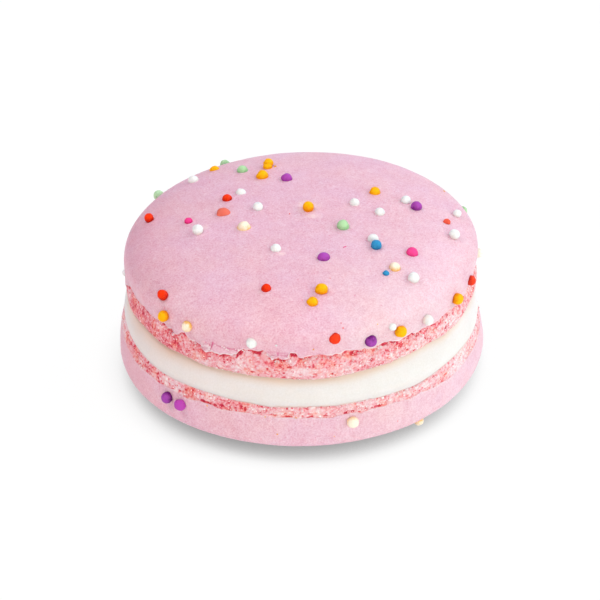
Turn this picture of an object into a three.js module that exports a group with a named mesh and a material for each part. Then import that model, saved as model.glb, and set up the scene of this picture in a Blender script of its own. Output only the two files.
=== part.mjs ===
// French macaron: two almond meringue shells with a layer of buttercream between them.
// Millimetres, +Z up. The origin is the centre of the small flat spot that the lower
// shell rests on. Each shell is one baked piece: a smooth domed cap, the thin lip of
// its crust, and the ruffled foot that rose below the lip in the oven. The upper shell
// sits a little out of level, because the buttercream is thicker on one side.

import * as THREE from 'three';

// ---- overall sizes -------------------------------------------------------------
const TOTAL_HEIGHT = 21.15;        // resting spot to the top of the upper cap
const COLUMNS = 72;                // facets around each piece

// ---- lower shell (cap downward, foot upward) -----------------------------------
const LOWER_CAP_RADIUS = 23.0;     // widest place of the whole macaron
const LOWER_CAP_WIDEST_Z = 3.25;
const LOWER_CAP_DEPTH = 3.44;      // depth of the full dome below its widest place
const LOWER_LIP_RADIUS = 22.85;    // edge of the crust
const LOWER_LIP_Z = 6.65;
const LOWER_FOOT_RADIUS = 22.9;    // the foot's fullest place
const LOWER_FOOT_TOP_Z = 8.05;     // plane that the buttercream lies on
const LOWER_FOOT_RIM_RADIUS = 22.15;

// ---- buttercream ---------------------------------------------------------------
const FILLING_BULGE_RADIUS = 22.72;
const FILLING_BULGE_Z = 8.95;
const FILLING_LOW_RADIUS = 22.3;
const FILLING_TOP_Z = 11.5;        // plane that the upper shell lies on, at the axis
const FILLING_TOP_RADIUS = 21.45;

// ---- upper shell (foot downward, cap upward) -----------------------------------
const UPPER_FOOT_RIM_RADIUS = 21.35;
const UPPER_FOOT_RADIUS = 22.15;
const UPPER_LIP_RADIUS = 21.8;
const UPPER_LIP_Z = 14.7;
const UPPER_CAP_RADIUS = 21.95;
const UPPER_CAP_WIDEST_Z = 16.45;

// ---- form of the caps and how uneven the baking left them ----------------------
const DOME_POWER = 2.4;            // superellipse power of both caps
const LIP_OVERHANG = 0.3;          // how far the foot is recessed right at the lip
const LEAN_X = 0.0215;             // rise of the upper shell per millimetre along +X
const LEAN_Y = 0.007;
const RUFFLE_DEPTH = 0.2;          // foot ruffles, in and out
const LIP_WAVE = 0.16;             // crust lip, up and down
const OUTLINE_WAVE = 0.1;          // how far each outline is from a true circle

// A wave around the rim: each term is [cycles, weight, phase].
const UPPER_RUFFLE = [[8, 0.34, 0.4], [13, 0.32, 2.1], [19, 0.34, 4.4]];
const LOWER_RUFFLE = [[9, 0.34, 1.7], [14, 0.32, 5.2], [20, 0.34, 0.9]];
const UPPER_LIP_SHAPE = [[5, 0.4, 1.1], [11, 0.35, 3.6], [17, 0.25, 0.2]];
const LOWER_LIP_SHAPE = [[6, 0.4, 4.8], [10, 0.35, 0.7], [16, 0.25, 2.9]];
const UPPER_OUTLINE = [[2, 0.6, 0.9], [3, 0.4, 4.0]];
const LOWER_OUTLINE = [[2, 0.6, 2.6], [3, 0.4, 1.2]];
const FILLING_OUTLINE = [[3, 0.5, 0.3], [5, 0.3, 2.2], [7, 0.2, 5.1]];

const wave = (terms, a) =>
  terms.reduce((sum, [cycles, weight, phase]) => sum + weight * Math.sin(cycles * a + phase), 0);

// Height above the widest place of a dome of full height h, at radius r of radius R.
const dome = (r, R, h) => h * Math.pow(Math.max(0, 1 - Math.pow(r / R, DOME_POWER)), 1 / DOME_POWER);

// Rings of a dome from its widest place to near its axis, evenly spaced along the curve.
function domeRings(count) {
  const rings = [];
  for (let i = 1; i < count; i++) {
    const s = (i / count) * (Math.PI / 2);
    rings.push(Math.pow(Math.cos(s), 2 / DOME_POWER));
  }
  return rings;
}

// One closed body from rings listed from its lowest point on the axis, outward, up the
// side and back to the axis. Each ring is a function of the angle that gives {r, z}.
function turnedBody(bottomZ, rings, topZ, lift) {
  const positions = [0, 0, bottomZ + lift(0, 0)];
  for (const ring of rings) {
    for (let k = 0; k < COLUMNS; k++) {
      const a = (k / COLUMNS) * 2 * Math.PI;
      const { r, z } = ring(a);
      const x = r * Math.cos(a);
      const y = r * Math.sin(a);
      positions.push(x, y, z + lift(x, y));
    }
  }
  positions.push(0, 0, topZ + lift(0, 0));
  const last = positions.length / 3 - 1;
  const at = (ring, k) => 1 + ring * COLUMNS + (k % COLUMNS);
  const faces = [];
  for (let k = 0; k < COLUMNS; k++) {
    faces.push(0, at(0, k + 1), at(0, k));
    for (let i = 0; i + 1 < rings.length; i++) {
      const a = at(i, k), b = at(i, k + 1), c = at(i + 1, k), d = at(i + 1, k + 1);
      if ((i + k) % 2) faces.push(a, b, c, b, d, c);
      else faces.push(a, b, d, a, d, c);
    }
    faces.push(last, at(rings.length - 1, k), at(rings.length - 1, k + 1));
  }
  const geometry = new THREE.BufferGeometry();
  geometry.setAttribute('position', new THREE.Float32BufferAttribute(positions, 3));
  geometry.setIndex(faces);
  geometry.computeVertexNormals();
  return geometry;
}

const level = () => 0;
const lean = (x, y) => LEAN_X * x + LEAN_Y * y;

// ---- lower shell ---------------------------------------------------------------
const lowerOut = (a) => OUTLINE_WAVE * wave(LOWER_OUTLINE, a);
const lowerRuffle = (a) => RUFFLE_DEPTH * wave(LOWER_RUFFLE, a);
const lowerLip = (a) => LIP_WAVE * wave(LOWER_LIP_SHAPE, a);

const restRadius = LOWER_CAP_RADIUS * Math.pow(
  1 - Math.pow(LOWER_CAP_WIDEST_Z / LOWER_CAP_DEPTH, DOME_POWER), 1 / DOME_POWER);
const lowerDome = domeRings(10)
  .map((f) => f * LOWER_CAP_RADIUS)
  .filter((r) => r > restRadius * 1.06)
  .reverse();
const lowerFootMid = (LOWER_LIP_Z + LOWER_FOOT_TOP_Z) / 2;

const lowerRings = [
  () => ({ r: restRadius, z: 0 }),
  ...lowerDome.map((r) => (a) => ({
    r: r + lowerOut(a) * (r / LOWER_CAP_RADIUS),
    z: LOWER_CAP_WIDEST_Z - dome(r, LOWER_CAP_RADIUS, LOWER_CAP_DEPTH),
  })),
  (a) => ({ r: LOWER_CAP_RADIUS + lowerOut(a), z: LOWER_CAP_WIDEST_Z }),
  (a) => ({ r: (LOWER_CAP_RADIUS + LOWER_LIP_RADIUS) / 2 + 0.06 + lowerOut(a),
            z: (LOWER_CAP_WIDEST_Z + LOWER_LIP_Z) / 2 }),
  (a) => ({ r: LOWER_LIP_RADIUS + lowerOut(a), z: LOWER_LIP_Z - 0.1 + lowerLip(a) }),
  (a) => ({ r: LOWER_LIP_RADIUS - LIP_OVERHANG + lowerOut(a), z: LOWER_LIP_Z + 0.05 + lowerLip(a) }),
  (a) => ({ r: LOWER_FOOT_RADIUS + lowerOut(a) + lowerRuffle(a), z: lowerFootMid + 0.06 }),
  (a) => ({ r: LOWER_FOOT_RADIUS - 0.2 + lowerOut(a) + 0.7 * lowerRuffle(a + 0.06), z: LOWER_FOOT_TOP_Z - 0.22 }),
  (a) => ({ r: LOWER_FOOT_RIM_RADIUS + lowerOut(a) + 0.4 * lowerRuffle(a), z: LOWER_FOOT_TOP_Z }),
];

// ---- buttercream ---------------------------------------------------------------
const fillingOut = (a) => OUTLINE_WAVE * wave(FILLING_OUTLINE, a);
const fillingRing = (r, z) => (a) => {
  // The lean of the upper shell fades out from the top plane to the bottom plane.
  const share = (z - LOWER_FOOT_TOP_Z) / (FILLING_TOP_Z - LOWER_FOOT_TOP_Z);
  const rr = r + fillingOut(a);
  return { r: rr, z: z + share * lean(rr * Math.cos(a), rr * Math.sin(a)) };
};
const fillingRings = [
  fillingRing(FILLING_LOW_RADIUS, LOWER_FOOT_TOP_Z),
  fillingRing(FILLING_BULGE_RADIUS - 0.05, LOWER_FOOT_TOP_Z + 0.35),
  fillingRing(FILLING_BULGE_RADIUS, FILLING_BULGE_Z),
  fillingRing(FILLING_BULGE_RADIUS - 0.3, FILLING_BULGE_Z + 0.9),
  fillingRing(FILLING_TOP_RADIUS + 0.45, FILLING_TOP_Z - 0.9),
  fillingRing(FILLING_TOP_RADIUS, FILLING_TOP_Z),
];

// ---- upper shell ---------------------------------------------------------------
const upperOut = (a) => OUTLINE_WAVE * wave(UPPER_OUTLINE, a);
const upperRuffle = (a) => RUFFLE_DEPTH * wave(UPPER_RUFFLE, a);
const upperLip = (a) => LIP_WAVE * wave(UPPER_LIP_SHAPE, a);
const upperDomeHeight = TOTAL_HEIGHT - UPPER_CAP_WIDEST_Z;

const upperRings = [
  (a) => ({ r: UPPER_FOOT_RIM_RADIUS + upperOut(a) + 0.4 * upperRuffle(a), z: FILLING_TOP_Z }),
  (a) => ({ r: UPPER_FOOT_RADIUS - 0.3 + upperOut(a) + 0.8 * upperRuffle(a + 0.05), z: FILLING_TOP_Z + 0.45 }),
  (a) => ({ r: UPPER_FOOT_RADIUS + upperOut(a) + upperRuffle(a), z: FILLING_TOP_Z + 1.25 }),
  (a) => ({ r: UPPER_FOOT_RADIUS - 0.15 + upperOut(a) + upperRuffle(a - 0.05), z: UPPER_LIP_Z - 0.95 }),
  (a) => ({ r: UPPER_LIP_RADIUS - LIP_OVERHANG + upperOut(a), z: UPPER_LIP_Z - 0.18 + upperLip(a) }),
  (a) => ({ r: UPPER_LIP_RADIUS + upperOut(a), z: UPPER_LIP_Z - 0.02 + upperLip(a) }),
  (a) => ({ r: UPPER_LIP_RADIUS + 0.13 + upperOut(a), z: (UPPER_LIP_Z + UPPER_CAP_WIDEST_Z) / 2 }),
  (a) => ({ r: UPPER_CAP_RADIUS + upperOut(a), z: UPPER_CAP_WIDEST_Z }),
  ...domeRings(10).map((f) => (a) => ({
    r: f * (UPPER_CAP_RADIUS + upperOut(a)),
    z: UPPER_CAP_WIDEST_Z + dome(f, 1, upperDomeHeight),
  })),
];

// ---- assembly ------------------------------------------------------------------
const pinkShell = new THREE.MeshStandardMaterial({ color: 0xf3c4d2, roughness: 0.62, metalness: 0 });
const ivoryCream = new THREE.MeshStandardMaterial({ color: 0xf5ece4, roughness: 0.55, metalness: 0 });

function piece(name, geometry, material) {
  const mesh = new THREE.Mesh(geometry, material);
  mesh.name = name;
  return mesh;
}

const macaron = new THREE.Group();
macaron.add(
  piece('bottom_shell', turnedBody(0, lowerRings, LOWER_FOOT_TOP_Z, level), pinkShell.clone()),
  piece('filling', turnedBody(LOWER_FOOT_TOP_Z, fillingRings, FILLING_TOP_Z, level), ivoryCream),
  piece('top_shell', turnedBody(FILLING_TOP_Z, upperRings, TOTAL_HEIGHT, lean), pinkShell),
);

export default macaron;
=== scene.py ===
"""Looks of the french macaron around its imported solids: two baked shells with crumbly feet, buttercream and sugar balls."""

import math

import bpy
import numpy as np
from mathutils import Matrix, Vector


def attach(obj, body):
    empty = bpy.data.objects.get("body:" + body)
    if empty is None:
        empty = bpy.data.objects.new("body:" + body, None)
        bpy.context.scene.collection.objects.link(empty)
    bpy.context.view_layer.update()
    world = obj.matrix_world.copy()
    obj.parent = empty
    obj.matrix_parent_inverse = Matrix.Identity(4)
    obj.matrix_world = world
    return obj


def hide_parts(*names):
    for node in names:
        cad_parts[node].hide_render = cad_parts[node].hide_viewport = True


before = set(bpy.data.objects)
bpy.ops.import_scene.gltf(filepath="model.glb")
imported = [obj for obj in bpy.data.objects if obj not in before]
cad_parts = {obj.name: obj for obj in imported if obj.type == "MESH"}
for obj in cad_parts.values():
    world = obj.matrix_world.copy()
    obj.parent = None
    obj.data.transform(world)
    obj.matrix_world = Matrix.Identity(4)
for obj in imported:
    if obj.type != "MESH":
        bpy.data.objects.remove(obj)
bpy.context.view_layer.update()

MM = 0.001
TAU = 2 * math.pi

# ---- sizes in millimetres, the same as the solids' -----------------------------------------------
POWER = 2.4  # superellipse power of both caps
LEAN = (0.0215, 0.007)  # rise of the upper shell per millimetre along X and Y
OUTLINE_WAVE = 0.1
FOOT_PLANE = {"upper": 11.5, "lower": 8.05}
UPPER_CAP = {"R": 21.95, "zw": 16.45, "h": 4.70, "lip_r": 21.82, "lip_h": 3.18}
LOWER_CAP = {"R": 23.0, "zw": 3.25, "h": 3.44, "lip_r": 22.88, "lip_h": 1.42}
OUTLINE = {"upper": ((2, 0.6, 0.9), (3, 0.4, 4.0)), "lower": ((2, 0.6, 2.6), (3, 0.4, 1.2)), "cream": ((3, 0.5, 0.3), (5, 0.3, 2.2), (7, 0.2, 5.1))}
RUFFLE = {"upper": ((8, 0.34, 0.4), (13, 0.32, 2.1), (19, 0.34, 4.4)), "lower": ((9, 0.34, 1.7), (14, 0.32, 5.2), (20, 0.34, 0.9))}
RUFFLE_DEPTH = 0.2

# The buttercream's outer edge: radius, and height over the lower foot.
CREAM_EDGE = [(22.4, -0.6), (22.48, -0.3), (22.55, -0.02), (22.6, 0.18), (22.67, 0.5), (22.7, 0.92), (22.57, 1.55), (22.32, 2.2), (22.02, 2.75), (21.74, 3.2), (21.55, 3.5), (21.4, 3.9)]


def wave(terms, a):
    return sum(w * np.sin(c * a + p) for c, w, p in terms)


def around(table, a):
    """A value that changes round the macaron: straight lines between pairs of azimuth in degrees and value."""
    az, value = np.array(table, float).T
    return np.interp(np.degrees(a), az, value, period=360)


def cream_radius(height):
    r, h = np.array(CREAM_EDGE).T
    return np.interp(height, h, r)


# ---- noise on points, the same every run ---------------------------------------------------------
def scramble(ix, iy, iz, seed):
    with np.errstate(over="ignore"):
        h = (
            ix.astype(np.uint32) * np.uint32(0x8DA6B343)
            ^ iy.astype(np.uint32) * np.uint32(0xD8163841)
            ^ iz.astype(np.uint32) * np.uint32(0xCB1AB31F)
            ^ np.uint32((seed * 0x9E3779B1) & 0xFFFFFFFF)
        )
        h ^= h >> np.uint32(15)
        h *= np.uint32(0x2C1B3C6D)
        h ^= h >> np.uint32(12)
        h *= np.uint32(0x297A2D39)
        h ^= h >> np.uint32(15)
    return h


def rand01(ix, iy, iz, seed):
    return scramble(ix, iy, iz, seed).astype(np.float64) / 4294967296.0


def smooth_noise(p, size, seed):
    """Smooth noise from -1 to 1 whose features are about size across."""
    q = p / size + 100.0
    i = np.floor(q).astype(np.int64)
    f = q - i
    f = f * f * f * (f * (f * 6 - 15) + 10)
    total = np.zeros(len(p))
    for dx in (0, 1):
        wx = f[:, 0] if dx else 1 - f[:, 0]
        for dy in (0, 1):
            wy = f[:, 1] if dy else 1 - f[:, 1]
            for dz in (0, 1):
                wz = f[:, 2] if dz else 1 - f[:, 2]
                total += wx * wy * wz * (rand01(i[:, 0] + dx, i[:, 1] + dy, i[:, 2] + dz, seed) * 2 - 1)
    return total


def layered(p, size, seed, layers=4, fade=0.5):
    out, gain = np.zeros(len(p)), 1.0
    for k in range(layers):
        out += gain * smooth_noise(p, size * 0.5**k, seed + 17 * k)
        gain *= fade
    return out


def cells(p, size, seed):
    """Distance to the nearest scattered point, a random number for it, and how high a tilted flat face through it lies."""
    q = p / size + 100.0
    i = np.floor(q).astype(np.int64)
    n = len(p)
    near, who, tilt = np.full(n, 9.0), np.zeros(n), np.zeros(n)
    for dx in (-1, 0, 1):
        for dy in (-1, 0, 1):
            for dz in (-1, 0, 1):
                cx, cy, cz = i[:, 0] + dx, i[:, 1] + dy, i[:, 2] + dz
                h = scramble(cx, cy, cz, seed)
                vx = cx + (h & np.uint32(1023)) / 1023.0 - q[:, 0]
                vy = cy + ((h >> np.uint32(10)) & np.uint32(1023)) / 1023.0 - q[:, 1]
                vz = cz + ((h >> np.uint32(20)) & np.uint32(1023)) / 1023.0 - q[:, 2]
                d = np.sqrt(vx * vx + vy * vy + vz * vz)
                hit = d < near
                g = scramble(cx, cy, cz, seed + 5)
                tx = (g & np.uint32(1023)) / 511.5 - 1
                ty = ((g >> np.uint32(10)) & np.uint32(1023)) / 511.5 - 1
                tz = ((g >> np.uint32(20)) & np.uint32(1023)) / 511.5 - 1
                who = np.where(hit, (g >> np.uint32(7)).astype(np.float64) / 33554432.0, who)
                tilt = np.where(hit, vx * tx + vy * ty + vz * tz, tilt)
                near = np.where(hit, d, near)
    return near, who, tilt


def step(x, a, b):
    t = np.clip((x - a) / (b - a), 0.0, 1.0)
    return t * t * (3 - 2 * t)


# ---- meshes --------------------------------------------------------------------------------------
def make_object(name, verts, faces, smooth=True, slots=None, attributes=None):
    """verts (n, 3) in millimetres; faces a list of index arrays, one for each number of corners."""
    mesh = bpy.data.meshes.new(name)
    verts = np.asarray(verts, np.float64) * MM
    mesh.vertices.add(len(verts))
    mesh.vertices.foreach_set("co", verts.astype(np.float32).ravel())
    faces = [np.asarray(f, np.int32) for f in faces if len(f)]
    corners = np.concatenate([f.ravel() for f in faces])
    counts = np.concatenate([np.full(len(f), f.shape[1], np.int32) for f in faces])
    starts = np.concatenate([[0], np.cumsum(counts)[:-1]]).astype(np.int32)
    mesh.loops.add(len(corners))
    mesh.loops.foreach_set("vertex_index", corners)
    mesh.polygons.add(len(counts))
    mesh.polygons.foreach_set("loop_start", starts)
    mesh.polygons.foreach_set("use_smooth", np.full(len(counts), smooth))
    if slots is not None:
        mesh.polygons.foreach_set("material_index", np.asarray(slots, np.int32))
    for key, values in (attributes or {}).items():
        layer = mesh.attributes.new(key, "FLOAT", "POINT")
        layer.data.foreach_set("value", np.asarray(values, np.float32))
    mesh.update(calc_edges=True)
    if mesh.validate():
        raise RuntimeError(f"{name}: its faces were not sound")
    obj = bpy.data.objects.new(name, mesh)
    bpy.context.scene.collection.objects.link(obj)
    return obj


def crease(mesh, spans):
    """Sharp edges along the rings that the spans of corner numbers give."""
    ends = np.empty(len(mesh.edges) * 2, np.int32)
    mesh.edges.foreach_get("vertices", ends)
    ends = ends.reshape(-1, 2)
    sharp = np.zeros(len(ends), bool)
    for first, last in spans:
        sharp |= np.all((ends >= first) & (ends < last), axis=1)
    mesh.attributes.new("sharp_edge", "BOOLEAN", "EDGE").data.foreach_set("value", sharp)


class Skin:
    """A closed surface of rings round the axis. Each ring has as many points as its neighbour, or half or twice as many."""

    def __init__(self):
        self.parts, self.rings, self.count = [], [], 0
        self.quads, self.tris, self.quad_slot, self.tri_slot = [], [], [], []

    def add(self, points, slot=0):
        n = len(points)
        start = self.count
        self.parts.append(points)
        self.count += n
        if self.rings:
            self.join(self.rings[-1], (start, n), slot)
        self.rings.append((start, n))

    def join(self, a, b, slot):
        (sa, na), (sb, nb) = a, b
        if na == nb == 1:
            raise ValueError("two poles")
        if na == 1:
            k = np.arange(nb)
            self.put(tris=np.stack([np.full(nb, sa), sb + (k + 1) % nb, sb + k], 1), slot=slot)
        elif nb == 1:
            k = np.arange(na)
            self.put(tris=np.stack([sa + k, sa + (k + 1) % na, np.full(na, sb)], 1), slot=slot)
        elif na == nb:
            k = np.arange(na)
            j = (k + 1) % na
            self.put(quads=np.stack([sa + k, sa + j, sb + j, sb + k], 1), slot=slot)
        elif na == 2 * nb:
            k = np.arange(nb)
            f0, f1, f2 = sa + 2 * k, sa + 2 * k + 1, sa + (2 * k + 2) % na
            c0, c1 = sb + k, sb + (k + 1) % nb
            self.put(tris=np.concatenate([np.stack([f0, f1, c0], 1), np.stack([f1, c1, c0], 1), np.stack([f1, f2, c1], 1)]), slot=slot)
        elif nb == 2 * na:
            k = np.arange(na)
            f0, f1, f2 = sb + 2 * k, sb + 2 * k + 1, sb + (2 * k + 2) % nb
            c0, c1 = sa + k, sa + (k + 1) % na
            self.put(tris=np.concatenate([np.stack([f1, f0, c0], 1), np.stack([c0, c1, f1], 1), np.stack([f2, f1, c1], 1)]), slot=slot)
        else:
            raise ValueError(f"rings of {na} and {nb}")

    def put(self, quads=None, tris=None, slot=0):
        if quads is not None:
            self.quads.append(quads)
            self.quad_slot.append(np.full(len(quads), slot))
        if tris is not None:
            self.tris.append(tris)
            self.tri_slot.append(np.full(len(tris), slot))

    def verts(self):
        return np.concatenate(self.parts)

    def faces(self, flip):
        q = np.concatenate(self.quads)
        t = np.concatenate(self.tris) if self.tris else np.zeros((0, 3), int)
        if flip:
            q, t = q[:, ::-1], t[:, ::-1]
        return [q, t], np.concatenate(self.quad_slot + self.tri_slot)


def curve_through(points, spacing):
    """Evenly spaced points on a smooth curve through the given ones."""
    p = np.array(points, float)
    ext = np.vstack([2 * p[0] - p[1], p, 2 * p[-1] - p[-2]])
    dense = []
    for i in range(1, len(ext) - 2):
        a, b, c, d = ext[i - 1], ext[i], ext[i + 1], ext[i + 2]
        for t in np.linspace(0, 1, 24, endpoint=False):
            dense.append(0.5 * (2 * b + (c - a) * t + (2 * a - 5 * b + 4 * c - d) * t * t + (3 * b - a - 3 * c + d) * t**3))
    dense.append(p[-1])
    dense = np.array(dense)
    s = np.concatenate([[0], np.cumsum(np.linalg.norm(np.diff(dense, axis=0), axis=1))])
    n = max(2, int(round(s[-1] / spacing)) + 1)
    t = np.linspace(0, s[-1], n)
    return np.stack([np.interp(t, s, dense[:, 0]), np.interp(t, s, dense[:, 1])], 1)


# ---- shells --------------------------------------------------------------------------------------
# Each shell is drawn foot first. h is the height over the plane that touches the buttercream, towards the cap.
FINE = 1152  # columns round a foot, 0.12 mm apart
FOOT_PROFILE = {
    "upper": [(20.5, 0.0), (21.05, 0.02), (21.5, 0.14), (21.83, 0.42), (22.03, 0.85), (22.12, 1.4), (22.1, 1.95), (21.99, 2.42), (21.84, 2.76), (21.7, 2.98), (21.62, 3.12)],
    "lower": [(21.2, 0.0), (21.8, -0.02), (22.25, 0.03), (22.55, 0.18), (22.73, 0.46), (22.8, 0.8), (22.79, 1.06), (22.76, 1.26), (22.74, 1.4)],
}

# How far each outline stands out or in beyond the round: azimuth and millimetres.
FOOT_TRIM = {
    "upper": [(-180, -0.52), (-165, -0.32), (-155, -0.1), (-145, 0), (-32, 0), (-15, -0.1), (0, -0.2), (15, -0.2), (35, 0), (135, 0), (150, -0.15), (165, -0.35)],
    "lower": [(-180, -0.25), (-165, -0.16), (-150, -0.04), (-140, 0), (-40, 0), (-25, -0.08), (-12, -0.22), (0, -0.4), (12, -0.36), (30, -0.14), (45, 0), (140, 0), (160, -0.18)],
}
CAP_TRIM = {
    "upper": [(-180, -0.10), (-165, 0), (-25, 0), (-8, 0.08), (8, 0.08), (25, 0), (110, 0), (135, -0.06), (150, -0.12), (165, -0.12)],
    "lower": [(-180, 0), (-165, 0.05), (-155, 0.12), (-145, 0.18), (-135, 0.19), (-125, 0.12), (-115, 0.05), (-105, 0), (-60, 0), (-45, -0.03), (-28, -0.12), (-14, -0.08), (0, 0.13), (16, 0.12), (35, 0), (90, 0)],
}
CREAM_TRIM = [(-180, -0.46), (-165, -0.33), (-150, -0.1), (-140, 0), (-35, 0), (-20, -0.16), (-8, -0.38), (0, -0.46), (15, -0.34), (35, 0), (140, 0), (160, -0.28)]

# How much lower than its mean the thin crust at the lip hangs over the foot: azimuth and millimetres.
LIP_LINE = {
    "upper": [
        (-184, 1.9), (-178, 1.9), (-174, 1.55), (-170.4, 0.81), (-167, 0.1), (-164, -0.3), (-161.5, -0.54), (-158.9, -0.45), (-156.7, -0.37), (-154.2, -0.42), (-150.7, -0.67), (-147.6, -0.56),
        (-143.4, -0.40), (-140.9, -0.46), (-138.5, -0.58), (-136.6, -0.25), (-135.0, -0.45), (-134.2, -0.05), (-133.1, 0.17), (-132.0, -0.08), (-130.7, -0.67), (-129.4, -0.79), (-128.5, -0.34),
        (-126.9, -0.07), (-125.1, -0.07), (-123.3, 0.19), (-122.4, 0.56), (-120.9, 0.72), (-119.4, 0.52), (-118.7, 0.48), (-117.3, 0.61), (-115.7, 0.61), (-114.6, 0.45), (-113.8, 0.48), (-112.2, 0.37),
        (-111.4, 0.22), (-110.6, 0.18), (-109.9, -0.27), (-108.4, -0.74), (-106.1, -0.76), (-104.7, -0.72), (-102.0, -0.76), (-100.9, -0.70), (-100.4, -0.22), (-99.6, 0.2), (-98.4, 0.32), (-97.6, 0.18), (-97.3, -0.1),
        (-96.9, 0.14), (-95.6, 0.3), (-94.4, 0.24), (-93.9, -0.05), (-93.5, -0.68), (-92.6, -0.70), (-91.8, -0.64), (-91.2, -0.27), (-91.0, -0.05), (-90.2, 0.15), (-89.6, 0.12), (-88.2, -0.08),
        (-86.3, -0.22),(-84.5, -0.31), (-83.2, -0.21), (-82.0, -0.02), (-79.2, -0.14), (-77.8, -0.09), (-76.0, -0.44), (-74.8, -0.39), (-73.1, -0.20), (-71.5, -0.08), (-70.2, -0.15), (-68.3, 0.06),
        (-66.3, 0.20), (-65.5, -0.13), (-64.3, -0.27), (-61.2, -0.24), (-59.2, 0.05), (-57.5, 0.22), (-56.3, 0.02), (-53.0, -0.21), (-52.2, 0.12), (-50.4, 0.17), (-48.8, -0.13), (-46.5, 0.01),
        (-44.2, 0.18), (-41.4, 0.18), (-39.7, -0.05), (-35.5, -0.10), (-32.3, 0.12), (-27.8, 0.20), (-24.7, 0.16), (-21.7, -0.09), (-19, -0.4), (-15.9, -0.7), (-8, -0.5), (2, -0.1),
        (12, 0.2), (30, -0.25), (34, 0.1), (45, 0.4), (50, -0.4), (54, 0.1), (76, 0.3), (90, -0.15), (95, 0.5), (98.5, -0.4), (104, 0.0), (118, 0.3), (140, -0.3), (148, 0.45), (156, 0.1), (166, 0.9),
    ],
    "lower": [
        (-165, -0.19), (-158, -0.3), (-150, -0.33), (-144, -0.02), (-138.8, -0.18), (-134, 0.02), (-129.8, -0.2), (-126, -0.24), (-122.2, 0.1), (-118.8, 0.13), (-115.2, -0.15), (-112, -0.02), (-108.8, 0.03),
        (-106.8, 0.15), (-104, 0.09), (-99.5, -0.03), (-93.5, 0.0), (-90.5, -0.13), (-87.5, 0.0), (-84.5, -0.14), (-81.5, -0.2), (-78.5, 0.0), (-75.5, 0.17), (-72.2, -0.18), (-69, 0.08), (-62.5, 0.12),
        (-59, 0.05), (-55.2, -0.2), (-51.2, 0.06), (-47.2, -0.15), (-42.5, -0.27), (-37.5, -0.45), (-31.5, -0.2), (-24, 0.0), (5, 0.2), (20, 0.2), (35, -0.2), (65, -0.25), (80, 0.15), (105, 0.25), (125, -0.1), (150, -0.2), (175, 0.1),
    ],
}

# How far a foot's edge reaches past its plane over the buttercream.
FOOT_EDGE = {
    "upper": [(-184, 0.7), (-176, 0.6), (-170, 0.42), (-164, 0.1), (-158, -0.1), (-150, -0.42), (-143, -0.36), (-137, -0.1), (-132, -0.18), (-124, 0.0), (-110, 0.03), (-100, 0.14), (-92, 0.25), (-78, 0.23), (-70, 0.12),
              (-60, -0.04), (-52, -0.17), (-44, -0.17), (-38, 0.08), (-30, 0.0), (-24, -0.15), (-18, 0.12), (-8, 0.55), (4, 0.45), (20, 0.0), (60, 0.2), (95, -0.15), (130, 0.15), (160, 0.3)],
    "lower": [(-176, -0.1), (-165, 0.0), (-150, 0.15), (-138, -0.03), (-115, 0.12), (-100, 0.0), (-88, 0.08), (-70, 0.0), (-58, -0.22), (-53, -0.42), (-49, -0.32), (-45, 0.0), (-41, 0.24), (-36, 0.42), (-30, 0.52),
              (-22, 0.6), (-14, 0.35), (-7, -0.1), (0, -0.45), (12, -0.45), (40, -0.15), (80, 0.15), (120, -0.1), (160, 0.1)],
}

# Deep red shadow between foot and lip where the crust stands off: azimuth, half width, thickness in millimetres, strength.
STAND_OFF = {
    "upper": [(-109.4, 0.5, 0.5, 1.0), (-103.6, 0.75, 0.26, 1.0), (-97.3, 1.1, 0.12, 0.8), (-92.4, 0.45, 0.42, 1.0), (-89.0, 0.9, 0.1, 0.6), (-75.0, 0.8, 0.28, 0.5), (-61.5, 1.1, 0.3, 0.85), (-53.5, 0.5, 0.2, 0.6),
              (-44.0, 0.7, 0.16, 0.6), (-129.8, 0.4, 0.24, 0.6), (-139.0, 0.35, 0.22, 0.8), (-148.5, 0.3, 0.22, 0.7), (-155.5, 0.25, 0.22, 0.7), (-116.0, 0.9, 0.08, 0.4), (-83.0, 0.6, 0.2, 0.3),
              (32.0, 0.8, 0.4, 0.8), (50.0, 0.5, 0.4, 0.8), (88.0, 0.9, 0.3, 0.7), (98.5, 0.5, 0.4, 0.8), (140.0, 0.8, 0.3, 0.7)],
    "lower": [],
}

# Paler or deeper stretches of a foot: azimuth, height, half width, half height, lightness.
TONE = {
    "upper": [(-115.0, 2.2, 1.5, 0.5, -0.18), (-106.0, 1.8, 1.3, 1.1, 0.05), (-97.5, 2.25, 1.8, 0.6, -0.2), (-89.5, 1.2, 1.7, 0.75, 0.18), (-84.0, 2.2, 1.6, 0.65, -0.12), (-76.0, 1.2, 2.1, 0.75, 0.12), (-73.5, 2.9, 1.3, 0.3, -0.3),
              (-60.0, 2.4, 1.6, 0.5, -0.28), (-58.5, 1.2, 1.7, 0.9, 0.12), (-46.0, 1.4, 3.0, 1.0, 0.12), (-150.0, 1.4, 6.5, 2.0, -0.2), (-141.0, 1.4, 3.2, 2.0, -0.10), (-136.5, 1.3, 1.6, 1.4, 0.10), (-168.0, 1.4, 3.5, 2.0, -0.08), (-179.0, 1.5, 2.6, 2.2, 0.35), (-128.5, 1.5, 4.2, 2.0, -0.11), (-122.5, 1.1, 1.3, 0.7, 0.12)],
    "lower": [(-150.0, 0.7, 6.0, 1.4, -0.08), (-120.5, 0.8, 4.0, 1.3, -0.17),(-104.0, 0.8, 2.6, 1.3, -0.08), (-92.0, 0.7, 3.0, 1.2, 0.05), (-32.0, 0.7, 4.0, 1.3, 0.09)],
}

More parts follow.
